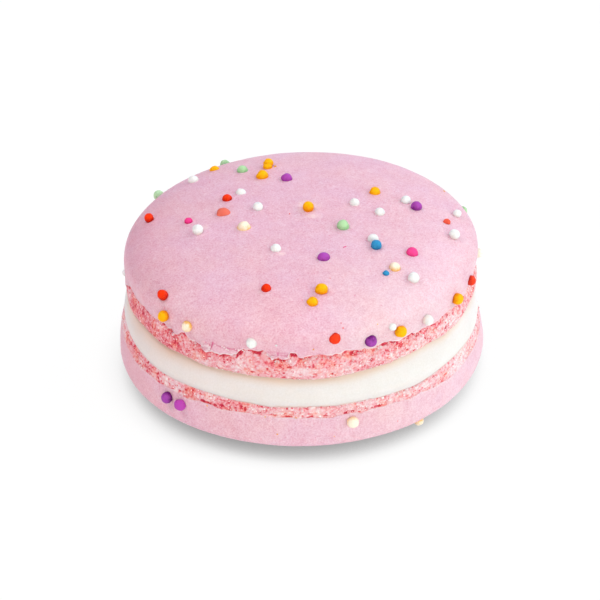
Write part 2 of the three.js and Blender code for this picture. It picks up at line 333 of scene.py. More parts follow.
# Painted light and shade on a cap, towards its edge: paler on the right side where the light falls, a painted sheen,
# and darker mostly on the left side, a painted shade: azimuth and share.
PAINTED_SHEEN = {
    "upper": [(-140, 0.0), (-100, 0.0), (-86, 0.01), (-71, 0.16), (-50, 0.21), (-25, 0.1), (10, 0.04), (40, 0.0), (150, 0.0)],
    "lower": [(-110, 0.0), (-85, 0.04), (-60, 0.1), (-30, 0.1), (10, 0.06), (40, 0.0)],
}
PAINTED_SHADE_SIDE = {
    "upper": [(-180, 0.2), (-160, 0.12), (-130, 0.0), (-108, 0.08), (-88, 0.08), (-74, 0.0), (90, 0.0), (150, 0.05)],
    "lower": [(-180, 0.3), (-160, 0.26), (-138, 0.1), (-115, 0.0), (90, 0.0), (150, 0.2)],
}

# Where the whole band of buttercream is coloured a little more tan, partly its own warmer tone and partly painted shade
# on the left side: azimuth and share.
CREAM_WARM = [(-180, 0.08), (-165, 0.12), (-150, 0.19), (-135, 0.12), (-120, 0.08), (-100, 0.04), (-85, 0.0), (70, 0.0), (150, 0.08)]

# How lively a foot's light and dark are, and how far its crumbs stand out: azimuth and factor.
LIVELY = {
    "upper": [(-180, 1.0), (-150, 0.9), (-125, 0.8), (-85, 0.8), (-65, 1.0), (-45, 1.3), (-10, 1.3), (30, 1.1), (90, 1.0), (150, 0.95)],
    "lower": [(-180, 0.95), (-140, 1.05), (-110, 0.95), (-85, 0.78), (-60, 0.75), (-20, 0.8), (40, 0.9), (120, 0.9)],
}
CRUMBLE = {
    "upper": [(-180, 0.75), (-150, 0.55), (-125, 0.5), (-85, 0.62), (-45, 0.95), (30, 1.0), (120, 0.95)],
    "lower": [(-180, 0.75), (-140, 0.62), (-90, 0.55), (-30, 0.7), (60, 0.9), (120, 0.9)],
}

# Small holes, sunk and also coloured darker, a painted shade inside them: azimuth, height, half width, half height in
# millimetres, strength.
HOLES = {
    "upper": [(-125.5, 2.2, 0.14, 0.1, 0.8), (-119.4, 2.0, 0.15, 0.1, 0.7), (-97.3, 2.72, 0.6, 0.08, 0.8), (-105.3, 0.95, 0.25, 0.1, 0.8), (-95.5, 1.1, 0.2, 0.12, 0.8), (-93.6, 1.9, 0.3, 0.12, 0.7), (-80.5, 0.75, 0.12, 0.2, 0.8), (-68.0, 1.7, 0.2, 0.12, 0.7),
              (-38.0, 1.4, 0.2, 0.15, 0.7), (-52.0, 0.9, 0.2, 0.1, 0.7), (-157.5, 2.4, 0.2, 0.15, 0.8), (-151.5, 2.7, 0.2, 0.2, 0.9)],
    "lower": [(-121.1, 1.05, 0.36, 0.24, 1.1), (-119.2, 1.10, 0.4, 0.18, 0.95), (-117.2, 1.16, 0.3, 0.12, 0.7), (-114.9, 1.08, 0.34, 0.19, 0.95), (-110.5, 1.02, 0.16, 0.12, 0.6), (-108.5, 0.55, 0.2, 0.12, 0.85), (-107.3, 0.85, 0.16, 0.32, 1.0),
              (-102.8, 1.05, 0.16, 0.1, 0.6), (-98.5, 1.2, 0.45, 0.08, 0.55), (-94.0, 1.25, 0.6, 0.06, 0.5), (-88.0, 1.28, 0.7, 0.06, 0.5), (-83.0, 1.3, 0.3, 0.08, 0.65), (-76.9, 1.2, 0.25, 0.12, 0.6), (-74.8, 1.1, 0.38, 0.1, 0.65),
              (-72.6, 1.3, 0.16, 0.1, 0.85), (-66.2, 1.12, 0.42, 0.14, 0.8), (-130.5, 1.2, 0.3, 0.1, 0.6), (-140.0, 1.0, 0.2, 0.2, 0.7), (-147.0, 0.8, 0.15, 0.25, 0.7), (-153.0, 0.9, 0.15, 0.3, 0.8), (-160.0, 0.8, 0.15, 0.3, 0.7),
              (-56.0, 1.1, 0.3, 0.1, 0.5), (-40.0, 0.8, 0.3, 0.12, 0.5), (40.0, 1.1, 0.4, 0.15, 0.8), (75.0, 1.1, 0.3, 0.15, 0.8), (110.0, 1.1, 0.4, 0.15, 0.8), (135.0, 1.0, 0.3, 0.15, 0.8)],
}

# Lobes of crust that stand out over the foot, and cracks behind them, on the upper shell.
LOBES = [(-117.7, 3.15, 0.55, 0.42, 0.10), (-115.0, 3.12, 0.6, 0.4, 0.10), (-111.9, 3.1, 0.6, 0.36, 0.09), (-89.3, 3.1, 0.8, 0.3, 0.06), (148.0, 2.9, 0.9, 0.4, 0.1), (95.0, 2.9, 0.7, 0.4, 0.1)]
CRACKS = [(-118.46, 4.0, -118.8, 3.55, 0.95), (-118.8, 3.55, -119.25, 3.05, 0.85), (-118.0, 3.88, -116.6, 3.74, 0.45), (-116.1, 3.72, -115.7, 3.62, 0.85), (-115.7, 3.66, -113.6, 3.68, 0.5), (-113.5, 3.68, -112.7, 3.62, 0.9),
          (-112.5, 3.66, -111.4, 3.62, 0.55), (-111.4, 3.64, -110.4, 3.60, 0.95), (-110.4, 3.5, -110.0, 3.3, 0.8), (93.0, 3.5, 96.5, 3.42, 0.8), (-100.2, 3.92, -98.6, 3.9, 0.4), (-99.3, 3.5, -98.3, 3.3, 0.3),
          (-97.3, 3.85, -97.25, 3.2, 0.8), (-96.8, 3.86, -94.2, 3.88, 0.35), (-96.5, 3.6, -95.0, 3.45, 0.45), (-94.9, 3.3, -94.2, 3.5, 0.35)]
# Bits of crust on the lips: shell, azimuth, height, half width, half height, thickness in millimetres, paleness, roughness.
FLAKES = [("upper", -120.9, 3.24, 0.62, 0.60, 0.30, 0.15, 0.20), ("upper", -119.9, 3.02, 0.3, 0.2, 0.3, 0.9, 0.25), ("upper", -121.9, 3.45, 0.26, 0.24, 0.26, 0.6, 0.25), ("upper", -98.8, 3.2, 0.3, 0.2, 0.04, 0.3, 0.28),
          ("upper", -93.9, 3.5, 0.08, 0.3, 0.08, 0.7, 0.2), ("upper", -134.2, 3.05, 0.22, 0.18, 0.16, 0.35, 0.2),
          ("upper", 33.0, 2.9, 0.5, 0.35, 0.25, 0.6, 0.2), ("upper", 120.0, 3.0, 0.6, 0.45, 0.28, 0.6, 0.2), ("lower", 80.0, 1.2, 0.4, 0.3, 0.2, 0.6, 0.2)]
# Sugar crystals on the crust: azimuth, height and half size in millimetres.
CRYSTALS = [(-115.1, 3.80, 0.10), (-114.4, 3.74, 0.13), (-113.7, 3.60, 0.12), (-113.0, 3.52, 0.10), (-110.5, 3.84, 0.09), (-109.7, 3.80, 0.11), (-108.2, 3.86, 0.12), (-117.5, 3.78, 0.08), (-121.3, 3.5, 0.10), (-120.3, 2.9, 0.10), (-119.9, 3.2, 0.08),
            (-99.0, 3.45, 0.08), (-93.9, 3.6, 0.09), (-124.6, 3.2, 0.10), (-125.8, 3.35, 0.08), (-127.0, 3.3, 0.10)]


def patches(table, a, h, radius):
    """Sum of soft spots on the foot, each a fifth value inside its half width and half height."""
    total = np.zeros(len(a))
    for az, at, wide, high, value in table:
        u = np.angle(np.exp(1j * (a - math.radians(az)))) * radius / wide
        v = (h - at) / high
        total += value * (1 - step(np.sqrt(u * u + v * v), 0.6, 1.25))
    return total


def lip_drop(side, a, cap):
    """How far the lip reaches towards the foot at azimuth a, beyond its mean height."""
    r = cap["lip_r"]
    ring = np.stack([r * np.cos(a), r * np.sin(a), np.full(len(a), 3.0 if side == "upper" else 60.0)], 1)
    out = around(LIP_LINE[side], a)
    rough = 0.04 * smooth_noise(ring, 0.9, 301) + 0.045 * smooth_noise(ring, 0.5, 302) + 0.045 * smooth_noise(ring, 0.3, 305) + 0.05 * (0.4 - np.abs(smooth_noise(ring, 0.42, 303)))
    hidden = step(np.abs(np.angle(np.exp(1j * (a - math.radians(88))))), math.radians(100), math.radians(80))
    return out + rough * (1.0 if side == "upper" else 0.8) + hidden * 0.13 * smooth_noise(ring, 1.6, 304)


def crumb(p, seed):
    """Relief of the porous, crumbly foot in millimetres and how light each point is, 0 in a pit to 1 on a crystal. The
    colour follows the relief, lighter on raised crumbs and darker in hollows, pits and holes: partly the crumb's own
    pale and red, partly painted shade.
    """
    warp = np.stack([smooth_noise(p, 0.7, seed + k) for k in (1, 2, 3)], 1) * 0.2
    lumps = layered(p, 1.9, seed + 11, 3)
    f, who, tilt = cells(p + warp, 0.86, seed + 21)
    big = (0.5 - f) * (0.4 + 0.8 * who) + 0.25 * tilt
    g, gwho, gtilt = cells(p + warp * 0.7, 0.42, seed + 31)
    small = (0.45 - g) * (0.4 + gwho) + 0.4 * gtilt
    d, dwho, _ = cells(p + warp, 1.3, seed + 41)
    pit = (1 - step(d, 0.05, 0.24)) * (dwho > 0.55)
    k, kwho, _ = cells(p + warp * 1.4, 0.58, seed + 51)
    hole = (1 - step(k, 0.08, 0.34)) * (kwho > 0.5)
    fine = layered(p, 0.3, seed + 61, 2)
    m, mwho, mtilt = cells(p + warp * 0.5, 0.26, seed + 81)
    bits = (0.45 - m) * (0.3 + mwho) + 0.5 * mtilt
    relief = 0.06 * lumps + 0.11 * big + 0.08 * small + 0.035 * bits + 0.015 * fine - 0.17 * pit - 0.09 * hole
    light = 0.61 + 0.26 * big + 0.34 * small + 0.34 * bits + 0.08 * fine - 0.55 * pit - 0.40 * hole + 0.15 * lumps
    return relief, light


def build_shell(side):
    cap = UPPER_CAP if side == "upper" else LOWER_CAP
    upper = side == "upper"
    plane = FOOT_PLANE[side]
    seed = 1000 if upper else 2000
    lip_h, lip_r = cap["lip_h"], cap["lip_r"]
    cap_h = abs(cap["zw"] - plane)  # the widest ring's height over the buttercream
    skin = Skin()
    values = {"level": [], "rim": [], "crack": [], "halo": [], "painted_sheen": [], "deeper_pink_and_painted_shade": []}
    foot_pick, creases = [], []

    def place(r, h, a):
        x, y = r * np.cos(a), r * np.sin(a)
        z = plane + h + LEAN[0] * x + LEAN[1] * y if upper else plane - h
        return np.stack([x, y, z], 1)

    def ring(r, h, n, slot, level=0.6, rim=0.0, crack=0.0, halo=0.0, picked=False, sharp=False):
        a = np.arange(n) / n * TAU
        r, h = np.broadcast_to(r, (n,)), np.broadcast_to(h, (n,))
        skin.add(place(r, h, a), slot)
        if sharp:
            creases.append((skin.count - n, skin.count))
        # each cap's edge gets a painted sheen, paler on the right side, and a painted shade, darker mostly on the left
        # side
        for key, v in (("level", level), ("rim", rim), ("crack", crack), ("halo", halo), ("painted_sheen", around(PAINTED_SHEEN[side], a) * (r / lip_r) ** 2), ("deeper_pink_and_painted_shade", around(PAINTED_SHADE_SIDE[side], a) * step(r / lip_r, 0.55, 1.0))):
            values[key].append(np.broadcast_to(np.asarray(v, float), (n,)))
        foot_pick.append(np.broadcast_to(picked, (n,)))

    a_fine = np.arange(FINE) / FINE * TAU
    out = OUTLINE_WAVE * wave(OUTLINE[side], a_fine)
    ruffle = RUFFLE_DEPTH * wave(RUFFLE[side], a_fine)
    drop = lip_drop(side, a_fine, cap)
    gap = lip_h - drop  # height of the lip's edge over the buttercream
    reach = around(FOOT_EDGE[side], a_fine) + (0.0 if upper else 0.18)
    base_cream = FOOT_PLANE["upper"] - FOOT_PLANE["lower"]

    def beside_cream(h):
        return cream_radius(base_cream + h if upper else -h)

    off_thick, off = np.zeros(FINE), np.zeros(FINE)
    for az, wide, thick, strength in STAND_OFF[side]:
        u = np.abs(np.angle(np.exp(1j * (a_fine - math.radians(az)))) * lip_r)
        w = 1 - step(u, wide * 0.7, wide * 1.2)
        off = np.maximum(off, w * strength)
        off_thick = np.maximum(off_thick, w * thick)

    # the face against the buttercream, unseen
    ring(0.0, 0.0, 1, 1)
    for r, n in ((4.0, 36), (8.0, 72), (12.0, 144), (15.5, 288), (18.5, 576)):
        ring(r, 0.0, n, 1)

    # where the crust's lip ends over the foot
    rows = curve_through(FOOT_PROFILE[side], 0.112)
    top = rows[-1, 1]
    trim = around(FOOT_TRIM[side], a_fine)
    p = place(np.full(FINE, lip_r), gap, a_fine)
    ragged = 0.035 * smooth_noise(p, 0.5, seed + 71) + 0.02 * smooth_noise(p, 0.25, seed + 72)
    at_gap = np.interp(gap, rows[3:, 1], rows[3:, 0]) + out + trim + ruffle * (1 - step(gap / top, 0.8, 1.0))
    stand = (0.03 if upper else 0.0) + 0.05 * off + 0.04 * np.maximum(0, drop)
    lip = np.maximum(lip_r + out + trim, at_gap + stand) + ragged
    extra = lip - (lip_r + out)

    # the foot
    lively, crumble = around(LIVELY[side], a_fine), around(CRUMBLE[side], a_fine)
    tangent = np.gradient(rows, axis=0)
    tangent /= np.linalg.norm(tangent, axis=1)[:, None]
    rr = None
    for j, (r, h) in enumerate(rows):
        nr, nh = tangent[j, 1], -tangent[j, 0]
        share = max(0.0, h / top)
        low = (1 - share) ** 1.5
        h_edge = h - reach * low
        rr = r + out + trim * step(j, 0, 6) + ruffle * min(1.0, 0.35 + share) * (1 - step(share, 0.8, 1.0)) + (beside_cream(h_edge) - beside_cream(np.full(FINE, h))) * low
        hh = h_edge + np.maximum(0, gap - lip_h) * step(share, 0.45, 1.0)
        near_lip = 1 - step(gap - hh, 0.0, 0.5)
        flush = (1 - step(gap - hh, 0.02, 0.42)) * step(share, 0.05, 0.3)
        rr = rr + (lip - (0.035 if upper else 0.0) - 0.07 * off - rr) * flush
        base = place(rr, hh, a_fine)
        rough, light = crumb(base, seed)
        rough, light = rough * crumble, 0.62 + (light - 0.62) * lively
        hole = patches(HOLES[side], a_fine, hh, lip_r)
        fade = step(j, -1, 5) * (1 - 0.75 * near_lip)
        rr = rr + nr * rough * fade - 0.12 * hole
        hh = hh + nh * rough * fade
        ragged_edge = 0.16 * smooth_noise(base, 0.4, seed + 91)
        # painted shade: the foot is coloured darker and redder just under the lip, most where the crust stands off, and
        # in a softer band that reaches lower elsewhere
        under = 1 - step(gap - hh + ragged_edge, 0.05 + 0.75 * off_thick, 0.14 + 1.25 * off_thick)
        painted_lip_shade = (1 - step(gap - hh + 2 * ragged_edge, 0.05, 0.75)) * np.clip(0.6 + 0.7 * smooth_noise(base, 1.5, seed + 92), 0, 1)
        band = 1 - step(np.abs(hh - (0.05 if upper else 0.22)), 0.0, 0.16)
        level = light - hole * 0.9 - under * 0.62 * off + patches(TONE[side], a_fine, hh, lip_r) - (0.04 if upper else 0.16) * band + (0.0 if upper else 0.08) - 0.17 * painted_lip_shade * (1 - off)
        over = np.maximum(0, hh - (gap - 0.02))
        hh = hh - 0.9 * over
        rr = rr - 0.4 * np.minimum(over, 0.8)
        ring(rr, hh, FINE, 1, np.clip(level, 0, 1), picked=(gap - hh > 0.1) & (0.04 < share) & (share < 0.97) & (j > 3))
    foot_top_r, foot_top_h = rr, hh

    # the lip: out over the foot, round its thin edge and onto the cap
    thin = 0.02 if not upper else 0.05
    rim_wave = np.clip(0.5 + 0.9 * smooth_noise(p, 0.8, seed + 73) + 0.5 * smooth_noise(p, 0.35, seed + 74), 0, 1) * (1.0 if upper else 0.35)
    # painted shade: the two rings tucked under the lip take the foot's dark red, for the pocket under the crust
    ring(np.minimum(foot_top_r - 0.05, lip - 0.2), np.maximum(foot_top_h, gap) + 0.04, FINE, 1, 0.3)
    ring(lip - 0.10, gap + 0.02, FINE, 1, 0.35)
    ring(lip - 0.05, gap, FINE, 0, 0.6, rim_wave, sharp=True)
    ring(lip - (0.012 if upper else 0.0), gap - thin * 0.4, FINE, 0, 0.7, rim_wave)
    ring(lip + (0.012 if upper else 0.006), gap + thin * 0.3, FINE, 0, 0.8, rim_wave)
    ring(lip + (0.022 if upper else 0.01), gap + thin * 1.2, FINE, 0, 0.9, rim_wave)

    # the cap's side, from the lip to its widest ring: the lip's unevenness dies out on the way
    side_rows = 13
    lip_top = thin * 1.2 + 0.05
    cap_trim = around(CAP_TRIM[side], a_fine)
    for k in range(side_rows):
        t = (k + 1) / side_rows
        even = lip_h + lip_top + (cap_h - lip_h - lip_top) * t
        ease = (1 - t) ** 2
        hh = even - drop * ease
        over = np.clip((hh - lip_h) / (cap_h - lip_h), 0, 1)
        rr = lip_r + 0.03 + (cap["R"] - lip_r - 0.03) * (1 - (1 - over) ** 2) + out + extra * ease + cap_trim * over
        p = place(rr, hh, a_fine)
        bump = 0.02 * smooth_noise(p, 1.2, seed + 81) + 0.035 * smooth_noise(p, 3.4, seed + 82) + 0.006 * smooth_noise(p, 0.35, seed + 86)
        crack = np.zeros(FINE)
        if upper:
            bump = bump + patches(LOBES, a_fine, hh, lip_r)
            for a0, h0, a1, h1, strength in CRACKS:
                u = np.angle(np.exp(1j * (a_fine - math.radians(a0)))) * lip_r
                v = hh - h0
                du, dv = math.radians(a1 - a0) * lip_r, h1 - h0
                s = np.clip((u * du + v * dv) / (du * du + dv * dv), 0, 1)
                d = np.hypot(u - s * du, v - s * dv)
                crack = np.maximum(crack, strength * (1 - step(d, 0.04, 0.15)))
        rim = 0.6 * (1 - step(hh - gap, 0.05, 0.24)) * rim_wave
        ring(rr + bump - 0.1 * crack, hh, FINE, 0, 1.0, rim, crack)

    # the dome
    steps = np.concatenate([np.linspace(0, 12, 8)[1:], np.linspace(12, 30, 12)[1:], np.linspace(30, 55, 17)[1:], np.linspace(55, 80, 19)[1:], np.array([82.5, 85.0, 87.5])])
    for s in steps:
        q = math.radians(s)
        f = math.cos(q) ** (2 / POWER)
        up_h = cap["h"] * math.sin(q) ** (2 / POWER)
        n = FINE if s < 9 else FINE // 2 if s < 60 else FINE // 4 if s < 79 else FINE // 8 if s < 84 else FINE // 16
        n = max(n, skin.rings[-1][1] // 2)
        a = np.arange(n) / n * TAU
        rr = f * (cap["R"] + OUTLINE_WAVE * wave(OUTLINE[side], a) + around(CAP_TRIM[side], a))
        hh = np.full(n, cap_h + up_h)
        p = place(rr, hh, a)
        hh = hh + 0.045 * smooth_noise(p, 6.0, seed + 83) + 0.022 * smooth_noise(p, 2.6, seed + 84) + 0.008 * smooth_noise(p, 1.1, seed + 85)
        if not upper:
            hh = np.minimum(hh, plane)
        halo = np.zeros(n)
        if upper:
            for az, at, radius, strength in HALOS:
                d = np.linalg.norm(p - cap_point(True, az, at), axis=1)
                halo = np.maximum(halo, strength * (1 - step(d, radius * 0.45, radius)))
        ring(rr, hh, n, 0, 1.0, halo=halo)
    ring(0.0, cap_h + cap["h"] if upper else plane, 1, 0, 1.0)

    faces, slots = skin.faces(flip=not upper)
    obj = make_object(f"{side}_shell_look", skin.verts(), faces, True, slots, {k: np.concatenate(v) for k, v in values.items()})
    crease(obj.data, creases)
    return obj, skin.verts(), np.concatenate(foot_pick)


# ---- where a cap's skin is -----------------------------------------------------------------------
def cap_point(upper, az, s):
    """A point on a cap, from the azimuth and s: 0 at the widest ring, 90 at the pole, -90 at the lip, in degrees."""
    c = UPPER_CAP if upper else LOWER_CAP
    q = math.radians(s)
    lip_z = FOOT_PLANE["upper"] + c["lip_h"] if upper else FOOT_PLANE["lower"] - c["lip_h"]
    if s >= 0:
        r = c["R"] * math.cos(q) ** (2 / POWER)
        d = c["h"] * math.sin(q) ** (2 / POWER)
        z = c["zw"] + d if upper else max(0.0, c["zw"] - d)
    else:
        t = -s / 90
        r = c["R"] + (c["lip_r"] - c["R"]) * t * t
        z = c["zw"] + (lip_z - c["zw"]) * t
    a = math.radians(az)
    r += OUTLINE_WAVE * wave(OUTLINE["upper" if upper else "lower"], a) * r / c["R"]
    x, y = r * math.cos(a), r * math.sin(a)
    return np.array([x, y, z + LEAN[0] * x + LEAN[1] * y if upper else z])


def cap_normal(upper, az, s):
    e = 0.05
    da = cap_point(upper, az + e, s) - cap_point(upper, az - e, s)
    ds = cap_point(upper, az, min(89.9, s + e)) - cap_point(upper, az, s - e)
    n = np.cross(da, ds)
    n /= np.linalg.norm(n)
    p = cap_point(upper, az, s)
    return n if n @ (p - np.array([0, 0, 12.0 if upper else 8.0])) > 0 else -n


# Pale sugar stains beside some balls: azimuth, s, radius in millimetres, strength.
HALOS = [(81.8, 85.1, 0.75, 0.6), (60.0, 86.8, 1.75, 0.4), (-8.2, 88.1, 0.7, 0.5), (-172.5, 61.3, 0.75, 0.45), (-104.4, 70.4, 0.6, 0.5), (-160.9, 73.6, 1.0, 0.3), (-44.8, 47.3, 1.0, 0.2)]


# ---- buttercream ---------------------------------------------------------------------------------
def build_cream():
    skin = Skin()
    low, high = FOOT_PLANE["lower"], FOOT_PLANE["upper"]
    span = high - low
    profile = curve_through([(20.4, -0.7), (21.5, -0.68)] + CREAM_EDGE + [(21.05, 4.1), (20.3, 4.14)], 0.15)
    n = 768
    warm_tone_and_painted_shadow, blush = [], []

    def put(r, h, m):
        b = np.arange(m) / m * TAU
        share = h / span
        rr = np.full(m, float(r)) + OUTLINE_WAVE * wave(OUTLINE["cream"], b) * min(1.0, r / 20) + around(CREAM_TRIM, b) * float(step(r, 20.0, 22.0))
        x, y = rr * np.cos(b), rr * np.sin(b)
        z = low + h + np.clip(share, 0, 1.1) * (LEAN[0] * x + LEAN[1] * y)
        p = np.stack([x, y, z], 1)
        # drawn out along the band, as the press of the shells leaves it
        flat = np.stack([x * 0.45, y * 0.45, z * 1.6], 1)
        bump = 0.03 * smooth_noise(flat, 1.7, 4001) + 0.05 * smooth_noise(p, 5.0, 4002) + 0.005 * smooth_noise(p, 0.5, 4003)
        k = (rr + bump) / rr if r else np.ones(m)
        skin.add(np.stack([x * k, y * k, z + 0.4 * bump], 1))
        # painted shadow: butter coloured tan under the foot above it, wider and stronger on the left side, and a thin
        # reddish line along the foot below
        under = span - around(FOOT_EDGE["upper"], b) - h
        over = h - around(FOOT_EDGE["lower"], b)
        left = np.clip(1.3 - np.abs(np.angle(np.exp(1j * (b - math.radians(-150))))) / 0.42, 0, 1)
        wide = 0.85 + 0.2 * smooth_noise(p, 3.0, 4004) + 1.3 * left
        painted_shadow_under_foot = np.clip(1 - under / wide, 0, 1) ** 1.6 * (0.75 + 0.25 * left)
        warm_tone_and_painted_shadow.append(1 - (1 - painted_shadow_under_foot) * (1 - around(CREAM_WARM, b)))
        blush.append(np.clip(1 - (over + 0.04 * smooth_noise(p, 0.5, 4005)) / 0.17, 0, 1) * np.clip(0.65 + 0.5 * smooth_noise(p, 1.3, 4006), 0, 1))

    put(0.0, -0.7, 1)
    for r, m in ((5.0, 48), (10.0, 96), (14.5, 192), (18.5, 384)):
        put(r, -0.7, m)
    for r, h in profile:
        put(r, h, n)
    for r, m in ((18.5, 384), (14.5, 192), (10.0, 96), (5.0, 48)):
        put(r, 4.14, m)
    put(0.0, 4.14, 1)
    faces, _ = skin.faces(flip=False)
    return make_object("cream_look", skin.verts(), faces, True, None, {"warm_tone_and_painted_shadow": np.concatenate(warm_tone_and_painted_shadow), "blush": np.concatenate(blush)})


# ---- small bodies --------------------------------------------------------------------------------
def ico(level):
    """A ball of triangles: corners and faces."""
    t = (1 + 5**0.5) / 2
    v = [(-1, t, 0), (1, t, 0), (-1, -t, 0), (1, -t, 0), (0, -1, t), (0, 1, t), (0, -1, -t), (0, 1, -t), (t, 0, -1), (t, 0, 1), (-t, 0, -1), (-t, 0, 1)]
    f = [(0, 11, 5), (0, 5, 1), (0, 1, 7), (0, 7, 10), (0, 10, 11), (1, 5, 9), (5, 11, 4), (11, 10, 2), (10, 7, 6), (7, 1, 8),
         (3, 9, 4), (3, 4, 2), (3, 2, 6), (3, 6, 8), (3, 8, 9), (4, 9, 5), (2, 4, 11), (6, 2, 10), (8, 6, 7), (9, 8, 1)]
    v = [np.array(p, float) / np.linalg.norm(p) for p in v]
    for _ in range(level):
        mid, nf = {}, []

        def half(i, j):
            key = (min(i, j), max(i, j))
            if key not in mid:
                m = v[i] + v[j]
                v.append(m / np.linalg.norm(m))
                mid[key] = len(v) - 1
            return mid[key]

        for i, j, k in f:
            a, b, c = half(i, j), half(j, k), half(k, i)
            nf += [(i, a, c), (j, b, a), (k, c, b), (a, b, c)]
        f = nf
    return np.array(v), np.array(f)


def turned(rng, n):
    q = rng.normal(size=(n, 4))
    q /= np.linalg.norm(q, axis=1)[:, None]
    w, x, y, z = q.T
    return np.stack([1 - 2 * (y * y + z * z), 2 * (x * y - z * w), 2 * (x * z + y * w), 2 * (x * y + z * w), 1 - 2 * (x * x + z * z), 2 * (y * z - x * w),
                     2 * (x * z - y * w), 2 * (y * z + x * w), 1 - 2 * (x * x + y * y)], 1).reshape(n, 3, 3)


class Heap:
    """Small bodies gathered for one joined mesh, with a value for each corner under each attribute's name."""

    def __init__(self, *names):
        self.v, self.f, self.att, self.count = [], [], {k: [] for k in names}, 0

    def add(self, verts, faces, **values):
        self.v.append(verts)
        self.f.append(faces + self.count)
        self.count += len(verts)
        for k in self.att:
            self.att[k].append(np.broadcast_to(np.asarray(values[k], float), (len(verts),)))

    def make(self, name, smooth=True):
        return make_object(name, np.concatenate(self.v), [np.concatenate(self.f)], smooth, None, {k: np.concatenate(v) for k, v in self.att.items()})


def build_grains(side, verts, pick):
    """Sugar and almond grains that stand out of a foot."""
    rng = np.random.default_rng(11 if side == "upper" else 12)
    where = np.flatnonzero(pick)
    count = 2200 if side == "upper" else 1150
    # more of them in some stretches than in others
    thick = np.clip(0.5 + 0.6 * smooth_noise(verts[where], 2.4, 901), 0.12, 1) * (1 + 0.9 * np.cos(np.arctan2(verts[where, 1], verts[where, 0]) + 0.5))
    chosen = rng.choice(where, count, replace=False, p=thick / thick.sum())
    c = verts[chosen].copy()
    out = c[:, :2] / np.linalg.norm(c[:, :2], axis=1)[:, None]
    size = np.exp(rng.normal(math.log(0.085), 0.38, count)).clip(0.04, 0.2)
    c[:, :2] -= out * (size * rng.uniform(0.2, 0.8, count))[:, None]
    v, f = ico(0)
    local = np.broadcast_to(v, (count, 12, 3)) * (1 + 0.28 * rng.uniform(-1, 1, size=(count, 12, 1))) * (1 + 0.3 * rng.uniform(-1, 1, size=(count, 1, 3)))
    world = np.einsum("nij,nmj->nmi", turned(rng, count), local) * size[:, None, None] + c[:, None, :]
    faces = (f[None] + (np.arange(count) * 12)[:, None, None]).reshape(-1, 3)
    return make_object(f"{side}_foot_grains", world.reshape(-1, 3), [faces], False, None, {"pale": np.repeat(rng.uniform(0, 1, count), 12)})


def build_flakes():
    """Broken bits of crust that lie on the lips."""
    heap = Heap("level", "rim", "crack", "halo", "painted_sheen", "deeper_pink_and_painted_shade")
    v, f = ico(3)
    rng = np.random.default_rng(21)

    def lay(side, az, h, wide, high, thick, proud, pale, rough, ball, faces):
        cap = UPPER_CAP if side == "upper" else LOWER_CAP
        a = math.radians(az)
        r = cap["lip_r"] + proud + float(around(FOOT_TRIM[side], np.array([a]))[0])
        x, y = r * math.cos(a), r * math.sin(a)
        z = FOOT_PLANE[side] + h + LEAN[0] * x + LEAN[1] * y if side == "upper" else FOOT_PLANE[side] - h
        q = ball + rng.uniform(0, 30, 3)
        lump = 1 + rough * smooth_noise(q, 0.8, 501) + 0.5 * rough * smooth_noise(q, 0.35, 502)
        p = ball * lump[:, None]
        along = np.array([-math.sin(a), math.cos(a), 0])
        outward = np.array([math.cos(a), math.sin(a), 0])
        world = np.array([x, y, z]) + p[:, :1] * wide * along + p[:, 1:2] * high * np.array([0, 0, 1.0]) + p[:, 2:] * thick * outward
        sunk = np.clip(-1.6 * smooth_noise(q, 0.45, 504) - 0.55, 0, 1)
        # the flakes get the deeper pink of their own crust, and no painted sheen
        heap.add(world, faces, level=0.9, rim=np.clip(pale + 0.5 * smooth_noise(q, 0.5, 503), 0, 1), crack=sunk * (rough > 0.15), halo=0.0, painted_sheen=0.0, deeper_pink_and_painted_shade=0.38)

    for side, az, h, wide, high, thick, pale, rough in FLAKES:
        lay(side, az, h, wide, high, thick, 0.13, pale, rough, v, f)
    # the coarse ones are clusters of small lumps
    v, f = ico(2)
    for side, az, h, wide, high, thick, pale, rough in FLAKES:
        for _ in range(int(44 * wide * high * (rough > 0.15))):
            t, k = rng.uniform(0, TAU), math.sqrt(rng.uniform(0.05, 1))
            at = (az + math.degrees(wide * k * math.cos(t) / 22.0), h + high * k * math.sin(t))
            size = rng.uniform(0.10, 0.20)
            lay(side, *at, size, size * rng.uniform(0.7, 1.1), size * 0.8, 0.13 + thick * (1 - k * k) ** 0.5 * 0.85, pale - 0.5 + rng.uniform(-0.1, 1.2), 0.14, v, f)
    v, f = ico(1)
    for az, h, size in CRYSTALS:
        lay("upper", az, h, size, size * rng.uniform(0.6, 1.0), size * 0.7, 0.2, 1.4, 0.0, v * (1 + 0.2 * rng.uniform(-1, 1, (len(v), 1))), f)
    return heap.make("crust_flakes")


